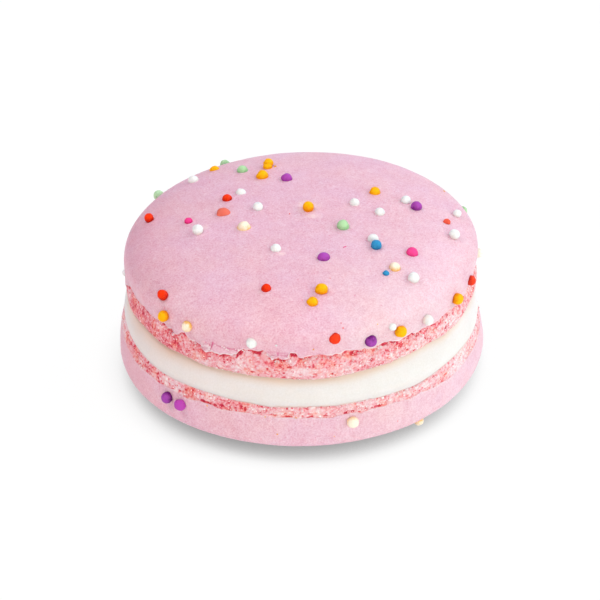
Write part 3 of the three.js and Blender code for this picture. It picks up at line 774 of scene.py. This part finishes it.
# Sugar balls: side, azimuth, s, diameter in millimetres, centre's height over the skin in radii, tint: up to 1 towards
# the kind's paler colour, below 0 towards its deeper one.
BALLS = {
    "orange": [
        ("u", 126.0, 33.7, 1.25, -0.20, 0), ("u", 106.0, 52.4, 1.30, 0.62, 0), ("u", 107.0, 54.0, 1.20, 0.10, 0.1), ("u", 114.1, 61.9, 1.57, 0.05, -0.1), ("u", 51.7, 87.4, 1.48, 0.50, -0.12), ("u", 31.3, 64.2, 1.40, 0.05, 0.1),
        ("u", -81.2, 47.0, 1.53, 0.20, -0.25), ("u", -85.6, 39.4, 1.38, -0.10, -0.25), ("u", -137.3, 1.4, 1.42, 0.50, 0), ("u", -58.1, -22.1, 1.48, 0.35, -0.1), ("u", -32.1, -28.8, 1.50, 0.40, 0),
    ],
    "red": [
        ("u", 151.5, 65.9, 1.28, 0.05, -0.2), ("u", 171.3, 68.1, 1.80, -0.25, 1.0), ("u", 171.0, 32.8, 1.20, 0.50, 0), ("u", 0.0, 37.2, 0.90, 0.05, 0.5), ("u", -105.2, 48.2, 1.23, -0.10, -0.3), ("u", -141.0, 18.6, 1.32, 0.50, -0.15),
        ("u", -79.6, 4.3, 1.48, -0.25, 0.05), ("u", -20.6, -28.3, 1.30, 0.30, 0.1),
    ],
    "magenta": [("u", 178.7, 55.1, 1.08, 0.05, 0), ("u", -30.6, 48.1, 1.42, 0.05, 0.15)],
    "purple": [
        ("u", 99.9, 68.0, 1.45, 0.05, 0.3), ("u", 9.4, 52.0, 1.43, 0.20, 0), ("u", -73.8, 67.0, 1.52, -0.10, 0.1), ("u", -68.1, -30.9, 1.45, 0.05, -0.15), ("l", -134.5, -58.3, 1.47, 0.50, 0), ("l", -129.1, -56.1, 1.50, 0.50, 1.0),
    ],
    "green": [("u", 116.7, 10.0, 1.37, 0.20, 0.3), ("u", 119.3, 50.5, 1.37, 0.05, 0), ("u", 146.2, 8.0, 1.35, 0.20, 1.0), ("u", -29.4, 77.8, 1.53, 0.20, -0.1), ("u", 20.9, -1.5, 1.25, 0.20, 0)],
    "blue": [("u", -38.3, 62.0, 1.34, 0.35, 0), ("u", -50.6, 46.7, 0.81, 0.05, 0)],
    "white": [
        ("u", 138.5, 36.8, 1.35, 0.05, 0), ("u", 138.9, 67.4, 1.34, -0.25, 0), ("u", 158.2, 78.7, 1.30, 0.20, 0), ("u", -168.9, 58.6, 1.40, 0.50, 0), ("u", 21.7, 74.5, 1.28, 0.05, 0), ("u", 16.1, 55.3, 1.28, 0.20, 0),
        ("u", 2.8, 67.5, 1.25, 0.05, 0), ("u", 7.2, 29.1, 1.08, 0.50, 0), ("u", -9.1, 32.7, 1.35, 0.50, 0), ("u", -32.7, 65.7, 1.32, 0.05, 0), ("u", -111.5, 72.3, 1.36, -0.10, 0), ("u", -43.6, 35.3, 1.40, 0.35, 0),
        ("u", -105.5, 0.0, 1.33, -0.10, 0), ("u", -60.7, 3.4, 0.91, 0.20, 0), ("u", -47.4, -25.2, 1.35, 0.50, 0), ("u", -172.5, -62.0, 1.10, -0.40, 0),
    ],
    "cream": [
        ("u", -160.9, 74.6, 1.70, -0.10, -0.2), ("u", -44.8, 47.3, 1.35, 0.05, -0.25), ("u", -127.6, 1.6, 1.30, 0.35, 0), ("u", -3.0, -40.0, 1.28, 0.12, 0.9), ("l", -74.9, -64.0, 1.40, 0.50, 0.4), ("l", -48.5, 23.7, 1.29, 0.50, 0),
    ],
}

# The same for the flank away from the shown side, spread as thinly.
BACK_BALLS = {
    "orange": [("u", 92.4, -10.7, 1.48, 0.05, 0), ("u", 160.9, -51.2, 1.34, 0.05, 0)],
    "red": [("u", 111.2, -6.2, 1.35, 0.20, 0), ("l", 85.4, -24.3, 1.48, 0.35, 0)],
    "magenta": [("u", 142.1, -53.7, 1.41, 0.50, 0)],
    "purple": [("u", 131.2, -52.6, 1.31, 0.20, 0), ("l", 73.5, -51.8, 1.30, 0.35, 0.5)],
    "green": [("u", 40.9, -19.9, 1.20, 0.35, 0), ("l", 100.8, -27.2, 1.30, 0.05, 0)],
    "blue": [("u", 18.6, -49.0, 1.29, 0.05, 0)],
    "white": [("u", 53.7, -30.8, 1.33, 0.20, 0), ("u", 71.6, -24.3, 1.25, 0.05, 0), ("l", 54.6, 12.0, 1.47, 0.20, 0), ("l", 147.1, 3.4, 1.42, 0.50, 0)],
    "cream": [("u", 29.8, -42.6, 1.22, 0.05, 0), ("l", 25.3, 15.4, 1.45, 0.20, 0)],
}

# Specks of broken balls: side, azimuth, s, half length and half width in millimetres, turn in degrees.
SPECKS = {
    "orange": [("l", -97.4, -26.8, 0.10, 0.08, 0), ("l", -101.0, -88.5, 0.10, 0.07, 0), ("l", -91.8, -91.1, 0.09, 0.06, 0), ("u", -86.3, -31.9, 0.09, 0.08, 0), ("u", -65.4, 11.2, 0.08, 0.06, 0), ("l", -119.7, -85.3, 0.10, 0.08, 0),
               ("l", -80.4, -14.7, 0.07, 0.06, 0), ("u", 27.0, 22.3, 0.16, 0.13, 40), ("u", 102.9, 54.2, 0.20, 0.14, 30)],
    "red": [("u", -77.0, 19.9, 0.07, 0.05, 0), ("u", -76.7, 14.8, 0.09, 0.07, 60), ("u", 164.0, 88.0, 0.14, 0.06, -20), ("u", -89.5, 41.1, 0.05, 0.04, 0), ("u", -75.6, 54.0, 0.05, 0.04, 0), ("l", -60.0, -20.0, 0.06, 0.05, 0)],
    "magenta": [("u", -54.2, 69.5, 0.26, 0.07, 15)],
    "white": [("u", -97.7, -0.9, 0.13, 0.12, 0), ("u", 60.0, -10.0, 0.1, 0.1, 0)],
}


def build_balls(colour):
    """All sugar balls and specks of one colour, each a little out of round."""
    rng = np.random.default_rng(100 + sorted(BALLS).index(colour))
    heap = Heap("up", "tint")
    v, f = ico(3)
    for side, az, s, d, lift, tint in BALLS[colour] + BACK_BALLS[colour]:
        n = cap_normal(side == "u", az, s)
        c = cap_point(side == "u", az, s) + n * lift * d / 2
        shift = rng.uniform(0, 60, 3)
        # a few flattened places and soft corners, where balls touched while they dried
        round_off = v.copy()
        for flat in turned(rng, 4)[:, 0]:
            over = np.maximum(0, round_off @ flat - rng.uniform(0.83, 0.95))
            round_off = round_off - 0.7 * over[:, None] * flat
        lump = 1.008 + 0.045 * smooth_noise(v + shift, 0.85, 77) + 0.02 * smooth_noise(v + shift, 0.33, 78)
        off = (round_off * lump[:, None] * (1 + 0.05 * rng.uniform(-1, 1, 3))) @ turned(rng, 1)[0].T
        c[2] = max(c[2], d / 2 * 1.12)
        # painted shade: a ball on the flank is coloured darker, as its side in shade
        turn = (0.08 if colour in ("orange", "red") else 0.3) if s < 5 else 0.0
        # up runs from the side of a ball facing the skin to its top; the material paints the low side in shade and the
        # top lighter: painted shade and painted highlight
        heap.add(c + off * d / 2, f, up=off @ n - turn + min(0.0, tint) + 0.12 * rng.uniform(-1, 1), tint=tint + 0.05 * rng.uniform(-1, 1))
    v, f = ico(1)
    for side, az, s, long, wide, turn in SPECKS.get(colour, []):
        n = cap_normal(side == "u", az, s)
        e = np.cross([0, 0, 1.0], n)
        e /= np.linalg.norm(e)
        g = np.cross(n, e)
        t = math.radians(turn)
        e, g = e * math.cos(t) + g * math.sin(t), g * math.cos(t) - e * math.sin(t)
        lump = v * (1 + 0.2 * rng.uniform(-1, 1, (len(v), 1)))
        heap.add(cap_point(side == "u", az, s) + n * 0.035 + lump[:, :1] * long * e + lump[:, 1:2] * wide * g + lump[:, 2:] * 0.05 * n, f, up=0.6, tint=0.2)
    return heap.make(f"sugar_balls_{colour}")


# ---- materials -----------------------------------------------------------------------------------
class Nodes:
    """Short calls for one material's node tree."""

    def __init__(self, name):
        self.mat = bpy.data.materials.new(name)
        self.mat.use_nodes = True
        self.tree = self.mat.node_tree
        self.bsdf = self.tree.nodes["Principled BSDF"]
        self.place = self.tree.nodes.new("ShaderNodeTexCoord").outputs["Object"]

    def link(self, a, b):
        self.tree.links.new(a, b)

    def node(self, kind, **props):
        n = self.tree.nodes.new(kind)
        for k, v in props.items():
            setattr(n, k, v)
        return n

    def noise(self, size_mm, detail=3.0, rough=0.5, distort=0.0):
        n = self.node("ShaderNodeTexNoise")
        n.inputs["Scale"].default_value = 1 / (size_mm * MM)
        n.inputs["Detail"].default_value = detail
        n.inputs["Roughness"].default_value = rough
        n.inputs["Distortion"].default_value = distort
        self.link(self.place, n.inputs["Vector"])
        return n.outputs["Fac"]

    def voronoi(self, size_mm):
        """Distance to the nearest scattered point, in cells, and three random numbers for it."""
        n = self.node("ShaderNodeTexVoronoi", feature="F1")
        n.inputs["Scale"].default_value = 1 / (size_mm * MM)
        self.link(self.place, n.inputs["Vector"])
        sep = self.node("ShaderNodeSeparateColor")
        self.link(n.outputs["Color"], sep.inputs[0])
        return n.outputs["Distance"], sep.outputs

    def math(self, op, a, b=None, clamp=False):
        n = self.node("ShaderNodeMath", operation=op, use_clamp=clamp)
        for i, v in enumerate((a, b)):
            if v is None:
                continue
            if hasattr(v, "is_linked"):
                self.link(v, n.inputs[i])
            else:
                n.inputs[i].default_value = v
        return n.outputs[0]

    def total(self, *terms):
        """The sum of (value, weight) pairs."""
        out = None
        for value, weight in terms:
            part = self.math("MULTIPLY", value, weight)
            out = part if out is None else self.math("ADD", out, part)
        return out

    def map(self, value, lo, hi, out_lo=0.0, out_hi=1.0, kind="LINEAR"):
        n = self.node("ShaderNodeMapRange", interpolation_type=kind)
        n.inputs["From Min"].default_value = lo
        n.inputs["From Max"].default_value = hi
        n.inputs["To Min"].default_value = out_lo
        n.inputs["To Max"].default_value = out_hi
        self.link(value, n.inputs["Value"])
        return n.outputs["Result"]

    def ramp(self, value, stops):
        n = self.node("ShaderNodeValToRGB")
        el = n.color_ramp.elements
        while len(el) < len(stops):
            el.new(0.5)
        for e, (at, colour) in zip(el, stops):
            e.position = at
            e.color = (*colour, 1)
        self.link(value, n.inputs["Fac"])
        return n.outputs["Color"]

    def mix(self, fac, a, b, kind="MIX"):
        n = self.node("ShaderNodeMix", data_type="RGBA", blend_type=kind)
        for key, v in ((0, fac), (6, a), (7, b)):
            s = n.inputs[key]
            if hasattr(v, "is_linked"):
                self.link(v, s)
            elif key == 0:
                s.default_value = v
            else:
                s.default_value = (*v, 1)
        return n.outputs[2]

    def attribute(self, name):
        return self.node("ShaderNodeAttribute", attribute_type="GEOMETRY", attribute_name=name).outputs["Fac"]

    def bump(self, height, distance_mm, strength=1.0):
        n = self.node("ShaderNodeBump")
        n.inputs["Strength"].default_value = strength
        n.inputs["Distance"].default_value = distance_mm * MM
        self.link(height, n.inputs["Height"])
        self.link(n.outputs["Normal"], self.bsdf.inputs["Normal"])

    def skin(self, weight, radius_mm, colour=(1.0, 0.4, 0.3)):
        self.bsdf.inputs["Subsurface Weight"].default_value = weight
        self.bsdf.inputs["Subsurface Radius"].default_value = colour
        self.bsdf.inputs["Subsurface Scale"].default_value = radius_mm * MM

    def specular(self, level):
        self.bsdf.inputs["Specular IOR Level"].default_value = level


def shade(colour, factor):
    return tuple(min(1.0, c * f) for c, f in zip(colour, factor if hasattr(factor, "__len__") else (factor,) * 3))


CAP = (0.760, 0.430, 0.523)


def cap_material():
    n = Nodes("baked_cap")
    hue = n.noise(6.5, 3, 0.55)
    big = n.noise(2.6, 3, 0.5)
    mid = n.noise(0.75, 4, 0.65)
    fine = n.noise(0.2, 2, 0.6)
    tone = n.total((n.map(big, 0.3, 0.7), 0.16), (n.map(mid, 0.3, 0.7), 0.26), (n.map(fine, 0.3, 0.7), 0.58))
    warm = n.ramp(tone, [(0.12, shade(CAP, (0.89, 0.68, 0.75))), (0.5, CAP), (0.88, shade(CAP, (1.09, 1.30, 1.22)))])
    cool = n.ramp(tone, [(0.12, shade(CAP, (0.88, 0.67, 0.80))), (0.5, shade(CAP, (0.98, 0.985, 1.06))), (0.88, shade(CAP, (1.07, 1.28, 1.27)))])
    colour = n.mix(n.map(hue, 0.36, 0.62), warm, cool)
    # painted sheen: the cap turns paler towards its right edge, where the light falls
    colour = n.mix(n.attribute("painted_sheen"), colour, (0.76, 0.75, 0.72))
    # painted shade: the cap turns darker towards its left edge; on the crust flakes the same mix gives their own deeper
    # pink
    colour = n.mix(n.attribute("deeper_pink_and_painted_shade"), colour, shade(CAP, (1.0, 0.60, 0.66)))
    # tiny deeper specks of colouring, and a few pale ones of sugar
    near, pick = n.voronoi(0.95)
    spot = n.math("MULTIPLY", n.map(near, 0.05, 0.13, 1.0, 0.0), n.math("GREATER_THAN", pick[0], 0.45))
    colour = n.mix(n.math("MULTIPLY", spot, 0.55), colour, (0.68, 0.16, 0.30))
    near, pick = n.voronoi(1.3)
    spot = n.math("MULTIPLY", n.map(near, 0.04, 0.09, 1.0, 0.0), n.math("GREATER_THAN", pick[1], 0.6))
    colour = n.mix(n.math("MULTIPLY", spot, 0.5), colour, (0.90, 0.72, 0.76))
    colour = n.mix(n.math("MULTIPLY", n.attribute("rim"), 0.78, clamp=True), colour, (0.93, 0.79, 0.83))
    colour = n.mix(n.math("MULTIPLY", n.attribute("halo"), n.map(mid, 0.25, 0.6, 0.5, 1.0)), colour, (0.92, 0.72, 0.70))
    colour = n.mix(n.math("MULTIPLY", n.attribute("crack"), 0.9), colour, (0.62, 0.05, 0.20))
    n.link(colour, n.bsdf.inputs["Base Color"])
    n.link(n.map(mid, 0.2, 0.8, 0.46, 0.62), n.bsdf.inputs["Roughness"])
    n.specular(0.55)
    n.skin(0.2, 0.8, (1.0, 0.45, 0.4))
    n.bump(n.total((fine, 0.55), (mid, 0.45)), 0.045, 0.7)
    return n.mat


def foot_material():
    n = Nodes("crumbly_foot")
    fine = n.noise(0.2, 3, 0.6)
    hue = n.noise(1.6, 3, 0.6)
    near, pick = n.voronoi(0.24)
    tone = n.math("ADD", n.attribute("level"), n.total((n.map(fine, 0.3, 0.7, -1, 1), 0.11), (n.map(pick[0], 0, 1, -1, 1), 0.11)))
    # open pores, finer than the modelled ones, drawn only as darker colour: painted shade
    pore, which = n.voronoi(0.5)
    wide = n.math("MULTIPLY", n.math("GREATER_THAN", which[0], 0.45), n.map(which[1], 0, 1, 0.12, 0.34))
    tone = n.math("SUBTRACT", tone, n.math("MULTIPLY", n.math("GREATER_THAN", n.math("SUBTRACT", wide, pore), 0.0), n.map(which[2], 0, 1, 0.16, 0.42)))
    pink = n.ramp(tone, [(0.0, (0.50, 0.008, 0.045)), (0.18, (0.68, 0.05, 0.095)), (0.36, (0.76, 0.20, 0.245)), (0.52, (0.78, 0.34, 0.40)), (0.68, (0.80, 0.47, 0.54)), (0.84, (0.83, 0.60, 0.66)), (1.0, (0.89, 0.76, 0.79))])
    coral = n.ramp(tone, [(0.0, (0.52, 0.01, 0.03)), (0.18, (0.72, 0.06, 0.07)), (0.36, (0.79, 0.20, 0.185)), (0.52, (0.80, 0.31, 0.30)), (0.68, (0.82, 0.44, 0.45)), (0.84, (0.85, 0.58, 0.61)), (1.0, (0.89, 0.75, 0.77))])
    n.link(n.mix(n.map(hue, 0.46, 0.64), pink, coral), n.bsdf.inputs["Base Color"])
    n.link(n.map(pick[1], 0, 1, 0.4, 0.7), n.bsdf.inputs["Roughness"])
    n.specular(0.3)
    n.skin(0.25, 0.3, (1.0, 0.40, 0.38))
    n.bump(n.total((fine, 1.0), (near, 0.6)), 0.04, 0.5)
    return n.mat


def grain_material():
    n = Nodes("sugar_grain")
    fine = n.noise(0.15, 2, 0.5)
    tone = n.math("ADD", n.attribute("pale"), n.map(fine, 0.3, 0.7, -0.15, 0.15))
    colour = n.ramp(tone, [(0.0, (0.80, 0.30, 0.33)), (0.35, (0.87, 0.47, 0.52)), (0.8, (0.91, 0.64, 0.69)), (1.0, (0.94, 0.80, 0.83))])
    n.link(colour, n.bsdf.inputs["Base Color"])
    n.link(n.map(fine, 0.3, 0.7, 0.25, 0.5), n.bsdf.inputs["Roughness"])
    n.skin(0.35, 0.3, (1.0, 0.5, 0.45))
    return n.mat


CREAM = (0.757, 0.688, 0.708)


def cream_material():
    n = Nodes("buttercream")
    big = n.noise(3.5, 3, 0.5)
    fine = n.noise(0.22, 3, 0.6)
    tone = n.total((big, 0.4), (fine, 0.6))
    colour = n.ramp(tone, [(0.3, shade(CREAM, (0.945, 0.93, 0.92))), (0.7, shade(CREAM, (1.04, 1.045, 1.055)))])
    # painted shadow in tan under the upper foot, together with the band's own warmer tone on the left
    colour = n.mix(n.math("MULTIPLY", n.attribute("warm_tone_and_painted_shadow"), n.map(big, 0.3, 0.7, 0.6, 0.8)), colour, (0.71, 0.44, 0.29))
    colour = n.mix(n.math("MULTIPLY", n.attribute("blush"), 0.6), colour, (0.76, 0.34, 0.27))
    n.link(colour, n.bsdf.inputs["Base Color"])
    n.link(n.map(big, 0.3, 0.7, 0.42, 0.58), n.bsdf.inputs["Roughness"])
    n.specular(0.3)
    n.skin(0.5, 1.0, (1.0, 0.8, 0.65))
    n.bump(fine, 0.012, 0.5)
    return n.mat


def sugar_material(name, deep, light, tinted, low=-0.45, high=0.7):
    n = Nodes(name)
    mid = n.noise(0.5, 3, 0.6)
    fine = n.noise(0.14, 2, 0.6)
    grain = n.total((n.map(mid, 0.32, 0.68, -1, 1), 0.27), (n.map(fine, 0.3, 0.7, -1, 1), 0.15))
    # painted shade and light: each ball darker on the side towards the skin and lighter on top, brightest at its crown
    # as a painted highlight
    tone = n.math("ADD", n.map(n.attribute("up"), low, high), grain)
    colour = n.ramp(tone, [(0.0, deep), (0.72, light), (1.0, shade(light, 1.1))])
    colour = n.mix(n.math("MULTIPLY", n.attribute("tint"), 1.0, clamp=True), colour, tinted)
    n.link(colour, n.bsdf.inputs["Base Color"])
    n.link(n.map(mid, 0.3, 0.7, 0.36, 0.55), n.bsdf.inputs["Roughness"])
    n.specular(0.1)
    n.skin(0.2, 0.35, (1.0, 0.7, 0.6))
    n.bump(n.total((mid, 1.0), (fine, 0.7)), 0.045, 0.7)
    return n.mat


# For each kind: the painted shade colour of a ball's low side, its lit colour, its paler or deeper variant, and for
# some the span of up that the ramp covers.
SUGAR = {
    "orange": ((0.74, 0.20, 0.001), (0.90, 0.405, 0.001), (0.88, 0.30, 0.01)),
    "red": ((0.42, 0.003, 0.001), (0.80, 0.031, 0.001), (0.77, 0.155, 0.11)),
    "magenta": ((0.46, 0.004, 0.10), (0.77, 0.044, 0.24), (0.84, 0.10, 0.30)),
    "purple": ((0.13, 0.005, 0.145), (0.34, 0.054, 0.37), (0.475, 0.06, 0.435)),
    "green": ((0.24, 0.47, 0.22), (0.395, 0.60, 0.345), (0.50, 0.72, 0.46)),
    "blue": ((0.005, 0.11, 0.29), (0.028, 0.235, 0.485), (0.06, 0.32, 0.58)),
    "white": ((0.78, 0.665, 0.64), (0.742, 0.722, 0.745), (0.73, 0.71, 0.73), -0.4, 0.4),
    "cream": ((0.85, 0.44, 0.12), (0.885, 0.73, 0.60), (0.88, 0.82, 0.75), -0.25, 0.6),
}

# ---- the piece list ------------------------------------------------------------------------------
baked_cap, crumbly_foot, sugar_grain, buttercream = cap_material(), foot_material(), grain_material(), cream_material()

for side, node in (("upper", "top_shell"), ("lower", "bottom_shell")):
    shell, verts, pick = build_shell(side)
    shell.data.materials.append(baked_cap)
    shell.data.materials.append(crumbly_foot)
    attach(shell, "root")
    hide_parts(node)
    grains = build_grains(side, verts, pick)
    grains.data.materials.append(sugar_grain)
    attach(grains, "root")

flakes = build_flakes()
flakes.data.materials.append(baked_cap)
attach(flakes, "root")

cream = build_cream()
cream.data.materials.append(buttercream)
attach(cream, "root")
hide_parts("filling")

for colour in BALLS:
    balls = build_balls(colour)
    balls.data.materials.append(sugar_material(f"sugar_{colour}", *SUGAR[colour]))
    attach(balls, "root")

# ---- stage ---------------------------------------------------------------------------------------
scene = bpy.context.scene
scene.view_settings.view_transform = "Standard"
scene.view_settings.look = "None"

floor_mesh = bpy.data.meshes.new("floor")
half = 2.0
floor_mesh.from_pydata([(-half, -half, 0), (half, -half, 0), (half, half, 0), (-half, half, 0)], [], [(0, 1, 2, 3)])
floor = bpy.data.objects.new("floor", floor_mesh)
scene.collection.objects.link(floor)
# The floor is a white light table: it glows, with a painted contact shadow: it glows less close to what stands on it,
# and a little less towards the left.
floor_tree = Nodes("light_table_painted_shadow")
floor_tree.mat.cycles.emission_sampling = "NONE"
near_object = floor_tree.node("ShaderNodeAmbientOcclusion", samples=16)
near_object.inputs["Distance"].default_value = 0.010
across = floor_tree.node("ShaderNodeSeparateXYZ")
floor_tree.link(floor_tree.place, across.inputs[0])
# painted shadow: the table glows less where the ambient occlusion finds the macaron close by, and a little less towards
# the left
painted_shadow_input = floor_tree.math("ADD", near_object.outputs["AO"], floor_tree.map(across.outputs[0], -0.03, 0.03, -0.09, 0.077))
glow_and_painted_shadow = floor_tree.ramp(painted_shadow_input, [(at, (v, v, v)) for at, v in ((0.0, 0.24), (0.15, 0.42), (0.2, 0.50), (0.3, 0.636), (0.4, 0.77), (0.5, 0.885), (0.58, 0.95), (0.66, 1.0))])
floor_tree.link(glow_and_painted_shadow, floor_tree.bsdf.inputs["Emission Color"])
floor_tree.bsdf.inputs["Emission Strength"].default_value = 0.93
floor_tree.bsdf.inputs["Base Color"].default_value = (0.08, 0.08, 0.08, 1)
floor_tree.bsdf.inputs["Roughness"].default_value = 0.9
floor_tree.specular(0.0)
floor.data.materials.append(floor_tree.mat)

# A white room that only the camera sees; the light comes from the soft boxes and the table.
world = bpy.data.worlds.new("studio")
world.use_nodes = True
background = world.node_tree.nodes["Background"]
background.inputs["Color"].default_value = (1, 1, 1, 1)
background.inputs["Strength"].default_value = 1.0
for ray in ("diffuse", "glossy", "transmission", "scatter"):
    setattr(world.cycles_visibility, ray, False)
scene.world = world


def soft_box(name, azimuth, elevation, power, colour):
    """A round area light 0.5 m across, 0.8 m from the macaron and facing it."""
    data = bpy.data.lights.new(name, "AREA")
    data.shape = "DISK"
    data.size = 0.5
    data.energy = power
    data.color = colour
    obj = bpy.data.objects.new(name, data)
    scene.collection.objects.link(obj)
    a, e = math.radians(azimuth), math.radians(elevation)
    place = Vector((math.cos(a) * math.cos(e), math.sin(a) * math.cos(e), math.sin(e))) * 0.8 + Vector((0, 0, 0.01))
    obj.location = place
    obj.rotation_euler = (Vector((0, 0, 0.01)) - place).to_track_quat("-Z", "Y").to_euler()


WHITE = (1.0, 1.0, 1.0)
soft_box("left_high", 180, 60, 2.78, WHITE)
soft_box("right", 0, 35, 1.93, (0.88, 1.0, 1.0))
soft_box("right_back", 30, 35, 1.70, (0.88, 0.99, 1.0))
soft_box("back_right", 60, 35, 1.36, (0.92, 0.93, 1.0))
soft_box("left_front_high", -135, 60, 0.9, (1.0, 1.0, 0.95))
soft_box("left_back_high", 135, 60, 0.64, (0.87, 0.88, 1.0))
soft_box("front_right", -60, 15, 1.95, (0.88, 1.0, 0.84))
soft_box("front", -90, 15, 1.41, (0.97, 1.0, 0.82))
soft_box("right_low", -30, 15, 1.61, (0.80, 1.0, 0.90))
soft_box("left_front", -135, 15, 0.9, (1.0, 1.0, 0.93))
soft_box("right_front", -30, 35, 0.5, WHITE)
soft_box("back", 90, 15, 0.70, (0.89, 0.90, 1.0))

# ---- camera: 32.4 degrees above the table, long lens ---------------------------------------------
PX = 0.126313  # millimetres of the object to a pixel at the target
ELEV, ROLL, DIST = math.radians(32.369), math.radians(0.509), 2400 * PX
forward = Vector((0, math.cos(ELEV), -math.sin(ELEV)))
right = Vector((1, 0, 0))
up = right.cross(forward)
target = (Vector((-0.85 * PX, 0, 8.685)) + up * 0.35 * PX) * MM
r2 = right * math.cos(ROLL) - up * math.sin(ROLL)
u2 = right * math.sin(ROLL) + up * math.cos(ROLL)
cam_data = bpy.data.cameras.new("camera")
cam_data.lens = 144.0
cam_data.sensor_width = 36.0
cam_data.clip_start = 0.01
camera = bpy.data.objects.new("camera", cam_data)
scene.collection.objects.link(camera)
camera.matrix_world = Matrix.Translation(target - forward * DIST * MM) @ Matrix((r2, u2, -forward)).transposed().to_4x4()
scene.camera = camera
